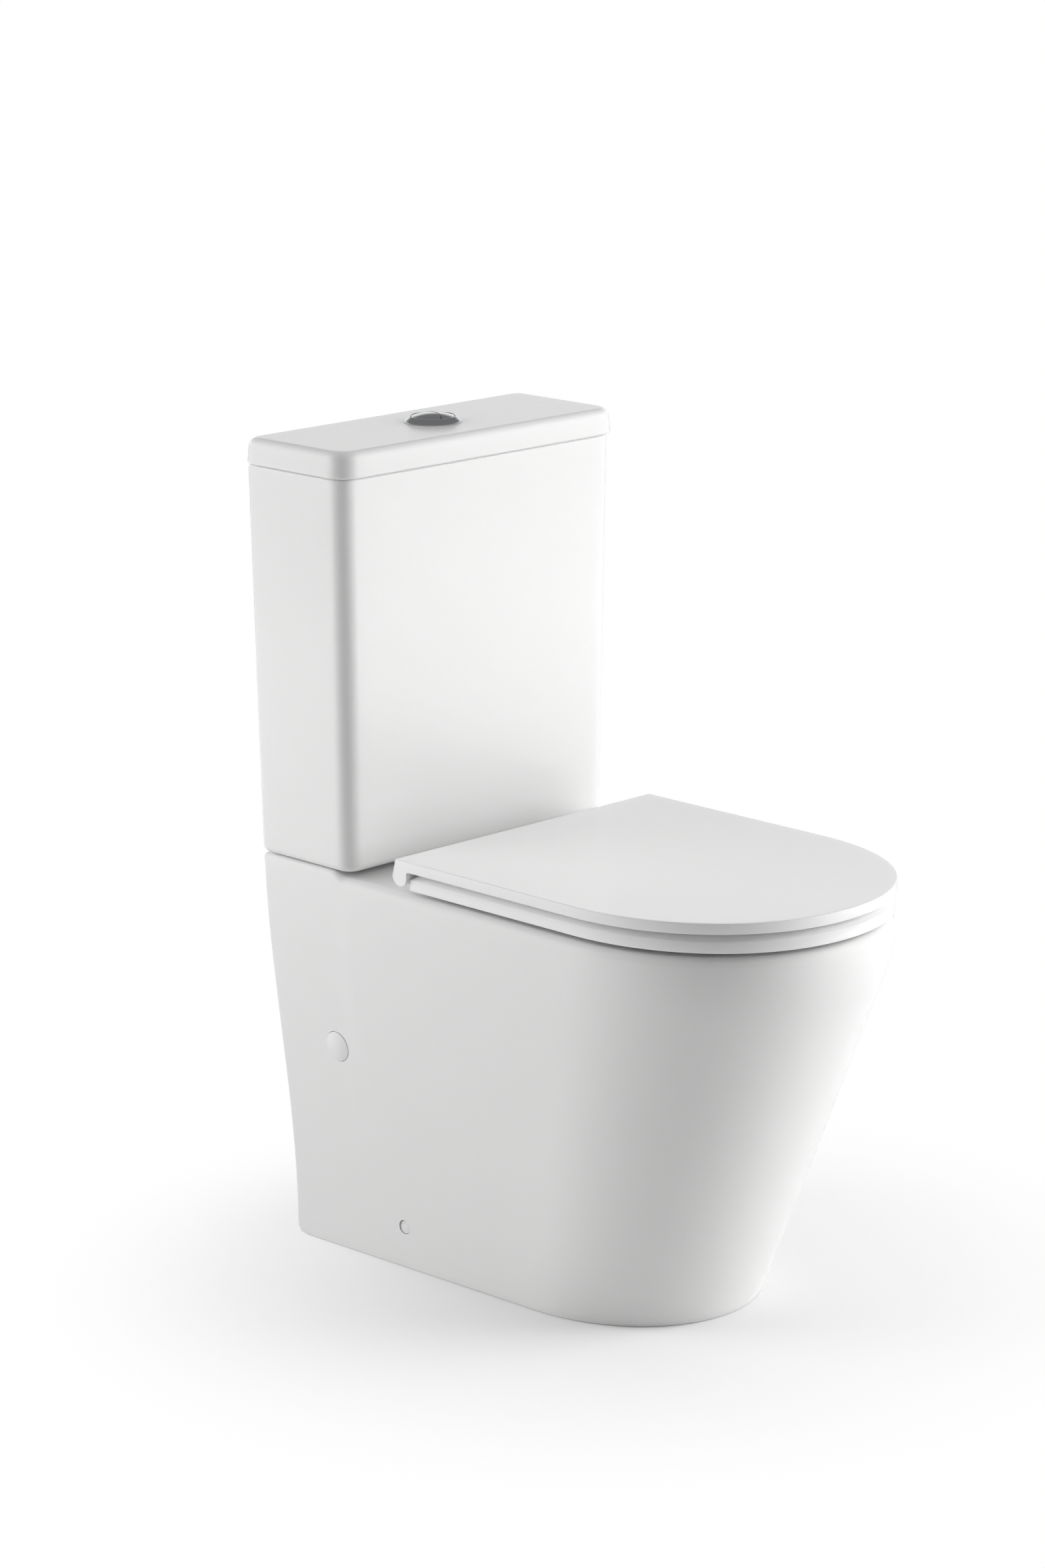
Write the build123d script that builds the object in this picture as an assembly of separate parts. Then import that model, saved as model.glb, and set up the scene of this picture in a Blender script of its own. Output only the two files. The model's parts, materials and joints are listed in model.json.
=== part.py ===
from build123d import *
import math
import os

# Close coupled toilet, millimetres. The origin is on the floor under the middle of the whole
# object, +Z is up, the wall behind it is on the +Y side and the bowl's nose points along -Y.
# "setback" is a distance from the wall face towards the nose.

# ---- driving dimensions ----
OVERALL_LENGTH = 634.2
WALL_Y = OVERALL_LENGTH / 2
BEYOND = 400.0

# pan: skirted outer form
RIM_Z = 407.8
DECK_Z = 412.5
DECK_END = 101.0
RIM_START = 119.0
DECK_SLAB = 20.0
PAN_WALL = 12.0
FOOT_REAR_HALF = 138.0
RIM_REAR_HALF = 172.0
FOOT_NOSE_HALF = 126.3
RIM_NOSE_HALF = 175.0
FOOT_NOSE_START = 338.5
RIM_NOSE_START = 437.0
FOOT_NOSE_LENGTH = 142.0
RIM_NOSE_LENGTH = 194.0
NOSE_POWER = 2.1
FLARE_START_Z = 20.0
FLARE_HEIGHT = 400.0
LEAN_HEIGHT = 373.0
LEAN_SOFT = 0.07
REAR_FOOT_ROUND = 11.0
REAR_TOP_ROUND = 7.0
DECK_STEP_ROUND = 12.0
REAR_TRIM = 2.0
CAVITY_BEYOND = 30.0
CAVITY_TOP_Z = 385.0
CAVITY_OVERLAP = 6.0
DECK_CAVITY_END = 109.0
BOWL_CUT_REAR = 100.0
BOWL_CUT_FOOT = 100.0
BOWL_CUT_TOP = RIM_Z - 5.0

# bowl and waterway: level, middle's setback, half length, half width
BOWL_RINGS = (
    (RIM_Z + 1.0, 427.0, 173.0, 120.0),
    (350.0, 420.0, 163.0, 113.0),
    (290.0, 398.0, 128.0, 92.0),
    (240.0, 372.0, 86.0, 66.0),
    (200.0, 352.0, 54.0, 46.0),
    (178.0, 346.0, 34.0, 32.0),
)
BOWL_WALL = 10.0
TRAP_ROUTE = ((352.0, 205.0), (318.0, 143.0), (235.0, 232.0), (165.0, 185.0), (70.0, 185.0))
TRAP_BENDS = (42.0, 42.0, 50.0)
TRAP_BORE = 29.0
TRAP_OUTER = 38.0
OUTLET_Z = 185.0
OUTLET_RADIUS = 51.0
OUTLET_BORE = 42.0
OUTLET_END = 12.0
OUTLET_LENGTH = 70.0
OUTLET_CONE = 16.0

# flush inlet of the pan
INLET_SETBACK = 73.0
INLET_WELL = 50.0
INLET_WELL_OUTER = 60.0
INLET_WELL_Z = 385.0
INLET_WELL_FLOOR = 12.0
INLET_WELL_TOP_Z = DECK_Z - 5.0
INLET_THROAT = 36.0
INLET_THROAT_OUTER = 45.0
CHANNEL_Z = 345.0
CHANNEL_BORE = 20.0
CHANNEL_OUTER = 28.0
CHANNEL_END = 275.0

# cistern
TANK_TOP_Z = 808.4
TANK_BOTTOM_Z = 414.5
TANK_TOP_WIDTH = 370.0
TANK_TOP_DEPTH = 142.5
TANK_BOTTOM_WIDTH = 357.0
TANK_BOTTOM_DEPTH = 133.1
TANK_BACK_LEAN = 2.3
TANK_FRONT_ROUND = 18.0
TANK_REAR_ROUND = 10.0
TANK_FOOT_ROUND = 8.0
TANK_INNER_ROUND = 4.0
TANK_WALL = 9.0
TANK_FLOOR = 10.0
FLUSH_HOLE = 33.0
BOLT_X = 76.0
BOLT_RADIUS = 4.0
BOLT_HOLE = 5.5
BOLT_FOOT_Z = 355.0
BOLT_HEAD_RADIUS = 9.0
BOLT_HEAD_HEIGHT = 5.0
BOLT_SEAL_RADIUS = 12.0
BOLT_SEAL_THICK = 3.0
BOLT_PAD_RADIUS = 16.0
BOLT_WASHER_RADIUS = 11.0
BOLT_WASHER_THICK = 2.0
WING_HUB_RADIUS = 8.0
WING_HUB_HEIGHT = 10.0
WING_REACH = 15.0
WING_HALF_THICK = 1.5
WING_RISE = 3.0
WING_DROP = 6.0
SUPPLY_X = 111.0
SUPPLY_HOLE = 11.5
SUPPLY_DECK_HOLE = 22.0

# cistern lid
LID_TOP_Z = 834.85
LID_BOTTOM_Z = TANK_TOP_Z + 0.1
LID_WIDTH = 377.0
LID_DEPTH = 147.5
LID_DRAFT = 1.5
LID_ROUND = 9.0
LID_EDGE_ROUND = 3.0
LID_FRONT_ROUND = 22.0
LID_REAR_ROUND = 14.0
LID_PLATE = 10.0
LID_RIM_WIDTH = 15.0
LID_RIB_DROP = 9.0
LID_RIB_CLEAR = 3.0
LID_RIB_WALL = 5.0
LID_POCKET_ROUNDS = (6.0, 8.0)
LID_RIB_OUTER_ROUNDS = (5.0, 6.0)
LID_RIB_INNER_ROUNDS = (3.0, 4.0)

# dual flush button
BUTTON_SETBACK = 73.0
BUTTON_HOLE = 24.2
BEZEL_RADIUS = 28.7
BEZEL_EDGE = 2.0
BEZEL_RISE = 6.0
BEZEL_COLLAR = 23.8
BEZEL_BORE = 21.9
BEZEL_COLLAR_Z = 806.0
BEZEL_FLOOR_Z = 822.0
BEZEL_FLOOR_THICK = 2.0
BEZEL_MOUTH = 1.0
BEZEL_MOUTH_DROP = 0.8
BEZEL_DOME_DROP = 0.5
BUTTON_RADIUS = 21.6
BUTTON_TOP_Z = LID_TOP_Z + 9.5
BUTTON_BODY_Z = 832.0
BUTTON_SPLIT_RADIUS = 32.6
BUTTON_SPLIT_OFFSET = -1.6
BUTTON_SPLIT_TURN = 176.0
BUTTON_SPLIT_GAP = 0.8
LOCKNUT_RADIUS = 30.0
LOCKNUT_HEIGHT = 7.0
LOCKNUT_GRIPS = 8
LOCKNUT_GRIP_DEPTH = 4.0
LOCKNUT_GRIP_WIDTH = 5.0
ROD_RADIUS = 3.0
ROD_SPREAD = 12.0
ROD_FOOT_RADIUS = 4.5
ROD_FOOT_HEIGHT = 3.0
ROD_FOOT_Z = 762.5
SPRING_RADIUS = 5.6
SPRING_BORE = 4.4

# flush valve
VALVE_SETBACK = 72.0
VALVE_TAIL = 31.0
VALVE_TAIL_BORE = 24.0
VALVE_TAIL_Z = 388.0
VALVE_FLANGE = 41.0
VALVE_FLANGE_THICK = 6.0
VALVE_SEAT_Z = 440.0
WASHER_THICK = 2.5
VALVE_NUT_RADIUS = 42.0
VALVE_NUT_HEIGHT = 12.0
GASKET_OUTER = 48.0
VALVE_SEAT_WALL = 2.5
CAGE_OUTER = 38.0
CAGE_FOOT_RADIUS = 40.0
CAGE_FOOT_BORE = 32.0
CAGE_FOOT_HEIGHT = 5.0
CAGE_POST_RADIUS = 3.5
CAGE_POST_CIRCLE = 34.2
CAGE_POST_COUNT = 4
CAGE_RING_BORE = 30.0
CAGE_TOP_Z = 752.0
CAGE_RINGS_Z = (530.0, 640.0)
CAGE_RING_HEIGHT = 6.0
PLUNGER_RADIUS = 14.0
PLUNGER_BORE = 11.5
PLUNGER_TOP_Z = 684.0
PLUNGER_FLOAT_RADIUS = 22.0
PLUNGER_FLOAT_Z = (552.0, 612.0)
PLUNGER_CLEAR = 1.0
PLUNGER_DISC_RADIUS = 28.0
PLUNGER_DISC_THICK = 4.0
SEAL_RADIUS = 30.0
SEAL_THICK = 3.0
ACTUATOR_RADIUS = 5.0
ACTUATOR_TOP_Z = 762.0
ACTUATOR_FOOT_Z = 722.0
HEAD_HEIGHT = 14.0
HEAD_CROWN = 8.0

# fill valve
FILL_SETBACK = 70.0
FILL_TAIL_RADIUS = 10.48
FILL_NECK_RADIUS = 10.2
FILL_TAIL_LENGTH = 36.0
FILL_TAIL_BORE = 5.0
FILL_TAIL_Z = 368.0
FILL_FLANGE = 18.0
FILL_FLANGE_THICK = 5.0
FILL_RISER = 9.0
FILL_HEAD_Z = 650.0
FILL_HEAD_RADIUS = 19.0
FILL_HEAD_HEIGHT = 46.0
FILL_CAP_RADIUS = 14.5
FILL_CAP_HEIGHT = 12.0
FILL_NUT_RADIUS = 17.0
FILL_NUT_HEIGHT = 8.0
FLOAT_OUTER = 26.0
FLOAT_BORE = 10.0
FLOAT_Z = (480.0, 540.0)
FLOAT_WALL = 2.5
FLOAT_LUG = (46.0, 24.0)
FLOAT_LUG_HEIGHT = 8.0
FLOAT_ROD_OFFSET = 41.0
FLOAT_ROD_RADIUS = 1.5
FLOAT_ROD_CLEAR = 0.1
FLOAT_ROD_Z = (526.0, 615.0)
ARM_PIVOT_Z = 704.0
ARM_PIVOT_OFFSET = 25.0
ARM_PIN = 2.0
ARM_PIN_LENGTH = 17.0
ARM_REACH = (50.0, 20.0)
ARM_HALF_WIDTH = 4.0
ARM_HALF_HEIGHT = 3.5
EAR_REACH = (30.0, 15.0)
EAR_OFFSET = 6.0
EAR_HALF_THICK = 1.5
EAR_Z = (684.0, 710.0)

# seat and its cover
SEAT_HALF = 176.5
SEAT_REAR = 199.8
SEAT_NOSE_START = 437.1
SEAT_NOSE_LENGTH = 197.1
COVER_TOP_Z = 443.2
COVER_THICK = 10.9
COVER_EDGE = 0.8
RING_BOTTOM_Z = 413.4
RING_SIDE_Z = 424.4
RING_TOP_Z = 430.2
RING_INSET = 3.2
RING_NOSE_INSET = 0.6
RING_REAR = 214.6
RING_BEVEL = 11.0
RING_REAR_BEVEL = 3.0
RING_HOLE_FLARE = 2.0
RING_HOLE_HALF = 106.0
RING_HOLE_FRONT = 578.0
RING_HOLE_REAR = 268.0
HOOK_PROFILE = (
    (SEAT_REAR, COVER_TOP_Z, 0.6),
    (192.6, 427.0, 9.0),
    (195.0, 416.6, 7.0),
    (209.0, 416.6, 6.0),
    (217.5, COVER_TOP_Z - COVER_THICK, 2.0),
    (217.5, COVER_TOP_Z, 0.6),
)
HOOK_NOTCH = (180.0, 226.0)
HOOK_NOTCH_FOOT_Z = 400.0
HINGE_SETBACK = 205.0
HINGE_Z = 425.0
HINGE_PIN = 3.0
HINGE_CLEAR = 0.05
HINGE_BARREL = 5.8
HINGE_SLOT = (150.0, 221.0)
HINGE_PIN_SHORT = 0.5
POST_X = 77.5
POST_WIDTH = 20.0
POST_FOOT_SETBACK = 183.0
POST_FOOT_RADIUS = 19.0
POST_FOOT_HEIGHT = 4.5
KNUCKLE_WIDTH = 20.0
KNUCKLE_GAP = 1.0
KNUCKLE_RADIUS = 7.0
KNUCKLE_ARM_END = 222.6
KNUCKLE_ARM_RISE = 4.0
DAMPER_RADIUS = 4.8
DAMPER_SOCKET = 5.0
SEAT_BOLT_RADIUS = 3.9
SEAT_BOLT_HOLE = 7.0
SEAT_BOLT_FOOT_Z = 345.0
SEAT_BOLT_COVER = 1.5
SEAT_BUSH_RADIUS = 6.8
SEAT_BUSH_FLANGE = 11.0
SEAT_NUT_RADIUS = 10.0
SEAT_NUT_Z = (365.0, 377.0)
SEAT_WING_REACH = 18.0
SEAT_WING_CORE = 9.0
COVER_BUFFERS = ((128.0, 300.0), (92.0, 556.0))
RING_BUFFERS = ((146.0, 320.0), (88.0, 570.0))
BUFFER_RADIUS = 7.0
POST_SIDES = (POST_X - POST_WIDTH / 2, POST_X + POST_WIDTH / 2)
RING_KNUCKLE = (POST_SIDES[0] - KNUCKLE_GAP - KNUCKLE_WIDTH, POST_SIDES[0] - KNUCKLE_GAP)
COVER_KNUCKLE = (POST_SIDES[1] + KNUCKLE_GAP, POST_SIDES[1] + KNUCKLE_WIDTH)

# fixings low in the pan
ACCESS_SETBACK = 86.5
ACCESS_Z = 223.0
ACCESS_HOLE = 16.0
ACCESS_CAP = 15.5
FOOT_FIX_SETBACK = 160.3
FOOT_FIX_Z = 45.0
FOOT_FIX_HOLE = 7.6
SIDE_CUT_X = (100.0, 200.0)
ACCESS_BACK = 6.0
FOOT_CAP_RADIUS = 7.0
FOOT_CAP_THICK = 3.0
FOOT_CAP_RECESS = 1.2
FOOT_SCREW_RADIUS = 2.8
FOOT_SCREW_HEAD = 5.6
BRACKET_THICK = 3.0
BRACKET_WIDTH = 30.0
BRACKET_HEIGHT = 62.0
BRACKET_FOOT = 38.0
BRACKET_HOLE = 4.0
BRACKET_GAP = 0.5
BRACKET_HOLE_OFFSET = 23.0
SIDE_SCREW_REACH = 14.0

FULL_TURN = 360.0
CLEAR = 0.3
PAST = 1.0
SIDES = (-1, 1)


# ---- helpers ----
def wall(setback):
    """Y of a point that many millimetres from the wall face."""
    return WALL_Y - setback


def tube(radius, bottom, top, x=0.0, setback=0.0, bore=0.0):
    """Upright round bar, or pipe where a bore is given."""
    body = Pos(x, wall(setback), (bottom + top) / 2) * Cylinder(radius, top - bottom)
    if bore:
        body -= Pos(x, wall(setback), (bottom + top) / 2) * Cylinder(bore, top - bottom + 1)
    return body


def cross_bar(radius, x_low, x_high, setback, z, bore=0.0):
    """Round bar along X, or pipe where a bore is given."""
    place = Pos((x_low + x_high) / 2, wall(setback), z) * Rot(0, 90, 0)
    body = place * Cylinder(radius, x_high - x_low)
    if bore:
        body -= place * Cylinder(bore, x_high - x_low + 1)
    return body


def block(x_low, x_high, setback_low, setback_high, z_low, z_high):
    """Box from its limits, with Y limits given as setbacks."""
    centre = ((x_low + x_high) / 2, wall((setback_low + setback_high) / 2), (z_low + z_high) / 2)
    return Pos(*centre) * Box(x_high - x_low, setback_high - setback_low, z_high - z_low)


def mirror_pair(shape):
    """The shape and its mirror image across the middle plane."""
    return Compound(children=[shape, mirror(shape, about=Plane.YZ)])


def side_profile(points_and_rounds, half_width):
    """Solid between x = -half_width and +half_width whose side view is a rounded polygon."""
    points = [(wall(s), z) for s, z, _ in points_and_rounds]
    rounds = [r for _, _, r in points_and_rounds]
    outline = FilletPolyline(*points, radius=rounds, close=True)
    face = make_face(Plane.YZ * outline)
    return Pos(-half_width, 0, 0) * extrude(face, 2 * half_width, dir=(1, 0, 0))


def smooth(t):
    """Soft step from 0 to 1."""
    t = min(max(t, 0.0), 1.0)
    return t * t * (3 - 2 * t)


def lean(z):
    """How far the nose has leant out at a level: straight, then easing to upright at the rim."""
    t = z / LEAN_HEIGHT
    start = 1 - LEAN_SOFT
    if t <= start:
        return t
    over = min(t - start, 2 * LEAN_SOFT)
    return start + over - over * over / (4 * LEAN_SOFT)


def nose_outline(rear, rear_half, nose_start, nose_half, nose_length, inset, z, steps=14):
    """D-shaped face: straight sides from the rear, then a superelliptic nose, inset all round."""
    slope = (nose_half - rear_half) / (nose_start - max(rear, 0.0))
    length = nose_length - inset

    def half_at(turn):
        along = math.sin(turn) ** (2 / NOSE_POWER)
        across = max(math.cos(turn), 0.0) ** (2 / NOSE_POWER)
        return nose_start + length * along, (nose_half - inset + slope * length * along) * across

    turns = [math.pi / 2 * i / steps for i in range(steps + 1)]
    right = [half_at(t) for t in turns]
    points = [(x, wall(s), z) for s, x in right]
    points += [(-x, wall(s), z) for s, x in reversed(right[:-1])]
    start_half = nose_half - inset
    rear_x = start_half - slope * (nose_start - rear)
    tangent = Vector(slope, -1, 0).normalized()
    back = Vector(slope, 1, 0).normalized()
    nose = Spline(*points, tangents=[tangent, back])
    corner_right = (rear_x, wall(rear), z)
    corner_left = (-rear_x, wall(rear), z)
    lines = [
        Line(corner_left, corner_right),
        Line(corner_right, points[0]),
        nose,
        Line(points[-1], corner_left),
    ]
    return make_face(Wire(lines))


def pan_section(z, inset=0.0, rear=0.0):
    """Horizontal section of the pan's outer form."""
    flare = smooth((z - FLARE_START_Z) / FLARE_HEIGHT)
    out = lean(z)
    rear_half = FOOT_REAR_HALF + (RIM_REAR_HALF - FOOT_REAR_HALF) * flare
    nose_half = FOOT_NOSE_HALF + (RIM_NOSE_HALF - FOOT_NOSE_HALF) * out
    nose_start = FOOT_NOSE_START + (RIM_NOSE_START - FOOT_NOSE_START) * out
    nose_length = FOOT_NOSE_LENGTH + (RIM_NOSE_LENGTH - FOOT_NOSE_LENGTH) * out
    return nose_outline(rear, rear_half, nose_start, nose_half, nose_length, inset, z)


def pan_half_width(z, setback):
    """Outer half width of the pan's straight side at a level and setback."""
    flare = smooth((z - FLARE_START_Z) / FLARE_HEIGHT)
    out = lean(z)
    rear_half = FOOT_REAR_HALF + (RIM_REAR_HALF - FOOT_REAR_HALF) * flare
    nose_half = FOOT_NOSE_HALF + (RIM_NOSE_HALF - FOOT_NOSE_HALF) * out
    nose_start = FOOT_NOSE_START + (RIM_NOSE_START - FOOT_NOSE_START) * out
    return rear_half + (nose_half - rear_half) * setback / nose_start


def round_box_face(width, setback_rear, setback_front, rear_round, front_round, z):
    """Rectangle against the wall side with its own front and rear corner radii."""
    half = width / 2
    corners = [
        (-half, wall(setback_rear), z),
        (half, wall(setback_rear), z),
        (half, wall(setback_front), z),
        (-half, wall(setback_front), z),
    ]
    rounds = [rear_round, rear_round, front_round, front_round]
    return make_face(FilletPolyline(*corners, radius=rounds, close=True))


# ---- pan ----
def pan_outer():
    levels = [0.0, 45.0, 100.0, 160.0, 220.0, 280.0, 330.0, LEAN_HEIGHT * (1 - LEAN_SOFT)]
    levels += [LEAN_HEIGHT, LEAN_HEIGHT * (1 + LEAN_SOFT), DECK_Z + PAST]
    form = loft([pan_section(z, 0.0, -REAR_TRIM) for z in levels])
    profile = side_profile(
        (
            (0.0, 0.0, REAR_FOOT_ROUND),
            (0.0, DECK_Z, REAR_TOP_ROUND),
            (DECK_END, DECK_Z, DECK_STEP_ROUND),
            (RIM_START, RIM_Z, DECK_STEP_ROUND),
            (OVERALL_LENGTH + PAST, RIM_Z, PAST / 2),
            (OVERALL_LENGTH + PAST, 0.0, PAST / 2),
        ),
        BEYOND,
    )
    return form & profile


def pan_cavity():
    levels = [-1.0, 60.0, 130.0, 200.0, 270.0, 330.0, CAVITY_TOP_Z]
    hollow = loft([pan_section(z, PAN_WALL, -CAVITY_BEYOND) for z in levels])
    low, high = CAVITY_TOP_Z - CAVITY_OVERLAP, DECK_Z - DECK_SLAB
    above = block(-BEYOND, BEYOND, -BEYOND, DECK_CAVITY_END, low, high)
    raised = loft([pan_section(z, PAN_WALL, -CAVITY_BEYOND) for z in (low, high)])
    return hollow + (raised & above)


def bowl_solid(grow):
    rings = []
    for z, middle, half_length, half_width in BOWL_RINGS:
        level = z - (grow if z < RIM_Z else 0.0)
        place = Pos(0, wall(middle), level)
        rings.append(place * make_face(Ellipse(half_width + grow, half_length + grow).edges()))
    return loft(rings)


def trap_pipe(radius, extra=0.0):
    points = [(0, wall(s), z) for s, z in TRAP_ROUTE]
    route = FilletPolyline(*points, radius=list(TRAP_BENDS))
    start = Plane(origin=route @ 0, z_dir=route % 0)
    pipe = sweep(start * Circle(radius), path=route)
    knob = Pos(*(route @ 0)) * Sphere(radius)
    return pipe + knob


def outlet_pipe():
    middle = Pos(0, wall(OUTLET_END + OUTLET_LENGTH / 2), OUTLET_Z) * Rot(90, 0, 0)
    return middle * Cylinder(OUTLET_RADIUS, OUTLET_LENGTH)


def outlet_bore():
    rear = wall(OUTLET_END)
    straight = OUTLET_LENGTH - OUTLET_CONE - PAN_WALL
    middle = Pos(0, rear - straight / 2 + PAST, OUTLET_Z) * Rot(90, 0, 0)
    bore = middle * Cylinder(OUTLET_BORE, straight + 2 * PAST)
    cone_middle = Pos(0, rear - straight - OUTLET_CONE / 2, OUTLET_Z) * Rot(90, 0, 0)
    cone = cone_middle * Cone(OUTLET_BORE, TRAP_BORE, OUTLET_CONE)
    return bore + cone


def inlet_outer():
    well_foot = INLET_WELL_Z - INLET_WELL_FLOOR
    well = tube(INLET_WELL_OUTER, well_foot, INLET_WELL_TOP_Z, 0, INLET_SETBACK)
    throat = tube(INLET_THROAT_OUTER, CHANNEL_Z - CHANNEL_OUTER, INLET_WELL_Z, 0, INLET_SETBACK)
    run = CHANNEL_END - INLET_SETBACK
    middle = Pos(0, wall(INLET_SETBACK + run / 2), CHANNEL_Z) * Rot(90, 0, 0)
    return well + throat + middle * Cylinder(CHANNEL_OUTER, run)


def inlet_bore():
    well = tube(INLET_WELL, INLET_WELL_Z, DECK_Z + PAST, 0, INLET_SETBACK)
    throat = tube(INLET_THROAT, CHANNEL_Z - CHANNEL_BORE, INLET_WELL_Z + PAST, 0, INLET_SETBACK)
    run = CHANNEL_END - INLET_SETBACK
    middle = Pos(0, wall(INLET_SETBACK + run / 2), CHANNEL_Z) * Rot(90, 0, 0)
    return well + throat + middle * Cylinder(CHANNEL_BORE, run)


def pan_holes():
    low, high = CAVITY_TOP_Z - CAVITY_OVERLAP, DECK_Z + PAST
    cuts = [tube(SUPPLY_DECK_HOLE, low, high, SUPPLY_X, FILL_SETBACK)]
    for side in SIDES:
        cuts.append(tube(BOLT_HOLE, low, high, side * BOLT_X, VALVE_SETBACK))
        cuts.append(tube(SEAT_BOLT_HOLE, low, high, side * POST_X, POST_FOOT_SETBACK))
        cut_low, cut_high = sorted(side * x for x in SIDE_CUT_X)
        cuts.append(cross_bar(ACCESS_HOLE, cut_low, cut_high, ACCESS_SETBACK, ACCESS_Z))
        cuts.append(cross_bar(FOOT_FIX_HOLE, cut_low, cut_high, FOOT_FIX_SETBACK, FOOT_FIX_Z))
    return cuts


def make_pan():
    outer = pan_outer()
    limits = block(-BEYOND, BEYOND, BOWL_CUT_REAR, OVERALL_LENGTH, BOWL_CUT_FOOT, BOWL_CUT_TOP)
    bowl_form = bowl_solid(BOWL_WALL) & limits
    hollows = (bowl_solid(0.0), trap_pipe(TRAP_BORE), outlet_bore(), inlet_bore())
    skirt = outer - pan_cavity() + inlet_outer() - bowl_form
    trap = trap_pipe(TRAP_OUTER) + outlet_pipe() - bowl_form
    bowl = bowl_form
    for hollow in hollows:
        skirt -= hollow
        bowl -= hollow
        trap -= hollow
    for cut in pan_holes():
        skirt -= cut
    return skirt, bowl, trap, outer


def access_caps(outer):
    low = pan_half_width(ACCESS_Z - ACCESS_HOLE, ACCESS_SETBACK) - ACCESS_BACK
    disc = cross_bar(ACCESS_CAP, low, SIDE_CUT_X[1], ACCESS_SETBACK, ACCESS_Z)
    return mirror_pair(disc & outer)


# ---- pan fixings ----
def foot_fixings():
    face_x = pan_half_width(FOOT_FIX_Z, FOOT_FIX_SETBACK)
    half = BRACKET_WIDTH / 2
    plate_x = pan_half_width(0.0, FOOT_FIX_SETBACK + half) - PAN_WALL - BRACKET_GAP
    upright = block(
        plate_x - BRACKET_THICK, plate_x, FOOT_FIX_SETBACK - half, FOOT_FIX_SETBACK + half, 0, BRACKET_HEIGHT
    )
    foot = block(
        plate_x - BRACKET_FOOT, plate_x, FOOT_FIX_SETBACK - half, FOOT_FIX_SETBACK + half, 0, BRACKET_THICK
    )
    bracket = upright + foot
    hole_x = plate_x - BRACKET_HOLE_OFFSET
    bracket -= tube(BRACKET_HOLE, -PAST, BRACKET_THICK + PAST, hole_x, FOOT_FIX_SETBACK)
    through = (plate_x - BRACKET_THICK - PAST, plate_x + PAST)
    bracket -= cross_bar(FOOT_SCREW_RADIUS, *through, FOOT_FIX_SETBACK, FOOT_FIX_Z)
    cap_out = face_x - FOOT_CAP_RECESS
    cap = cross_bar(FOOT_CAP_RADIUS, cap_out - FOOT_CAP_THICK, cap_out, FOOT_FIX_SETBACK, FOOT_FIX_Z)
    head_out = cap_out - FOOT_CAP_THICK
    head = cross_bar(FOOT_SCREW_HEAD, plate_x, head_out, FOOT_FIX_SETBACK, FOOT_FIX_Z)
    shank_foot = plate_x - SIDE_SCREW_REACH
    shank = cross_bar(FOOT_SCREW_RADIUS, shank_foot, plate_x + PAST, FOOT_FIX_SETBACK, FOOT_FIX_Z)
    return mirror_pair(bracket), mirror_pair(head + shank), mirror_pair(cap)


# ---- cistern ----
def tank_face(z, inset=0.0):
    share = (z - TANK_BOTTOM_Z) / (TANK_TOP_Z - TANK_BOTTOM_Z)
    width = TANK_BOTTOM_WIDTH + (TANK_TOP_WIDTH - TANK_BOTTOM_WIDTH) * share
    front = TANK_BACK_LEAN + TANK_BOTTOM_DEPTH
    front += (TANK_TOP_DEPTH - front) * share
    rear = TANK_BACK_LEAN * (1 - share)
    rear_round = max(TANK_REAR_ROUND - inset, TANK_INNER_ROUND)
    front_round = TANK_FRONT_ROUND - inset
    return round_box_face(width - 2 * inset, rear + inset, front - inset, rear_round, front_round, z)


def make_tank():
    form = loft([tank_face(TANK_BOTTOM_Z), tank_face(TANK_TOP_Z)], ruled=True)
    foot_edges = form.edges().group_by(Axis.Z)[0]
    form = fillet(foot_edges, TANK_FOOT_ROUND)
    floor_z = TANK_BOTTOM_Z + TANK_FLOOR
    hollow = loft([tank_face(floor_z, TANK_WALL), tank_face(TANK_TOP_Z + PAST, TANK_WALL)], ruled=True)
    body = form - hollow
    low, high = TANK_BOTTOM_Z - PAST, floor_z + PAST
    body -= tube(FLUSH_HOLE, low, high, 0, VALVE_SETBACK)
    body -= tube(SUPPLY_HOLE, low, high, SUPPLY_X, FILL_SETBACK)
    for side in SIDES:
        body -= tube(BOLT_HOLE, low, high, side * BOLT_X, VALVE_SETBACK)
    return body


def lid_inner_face(width, depth, inset, rounds, z):
    """Rectangle inside the lid, moved in all round, with its rear and front corner radii."""
    return round_box_face(width - 2 * inset, inset, depth - inset, *rounds, z)


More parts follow.
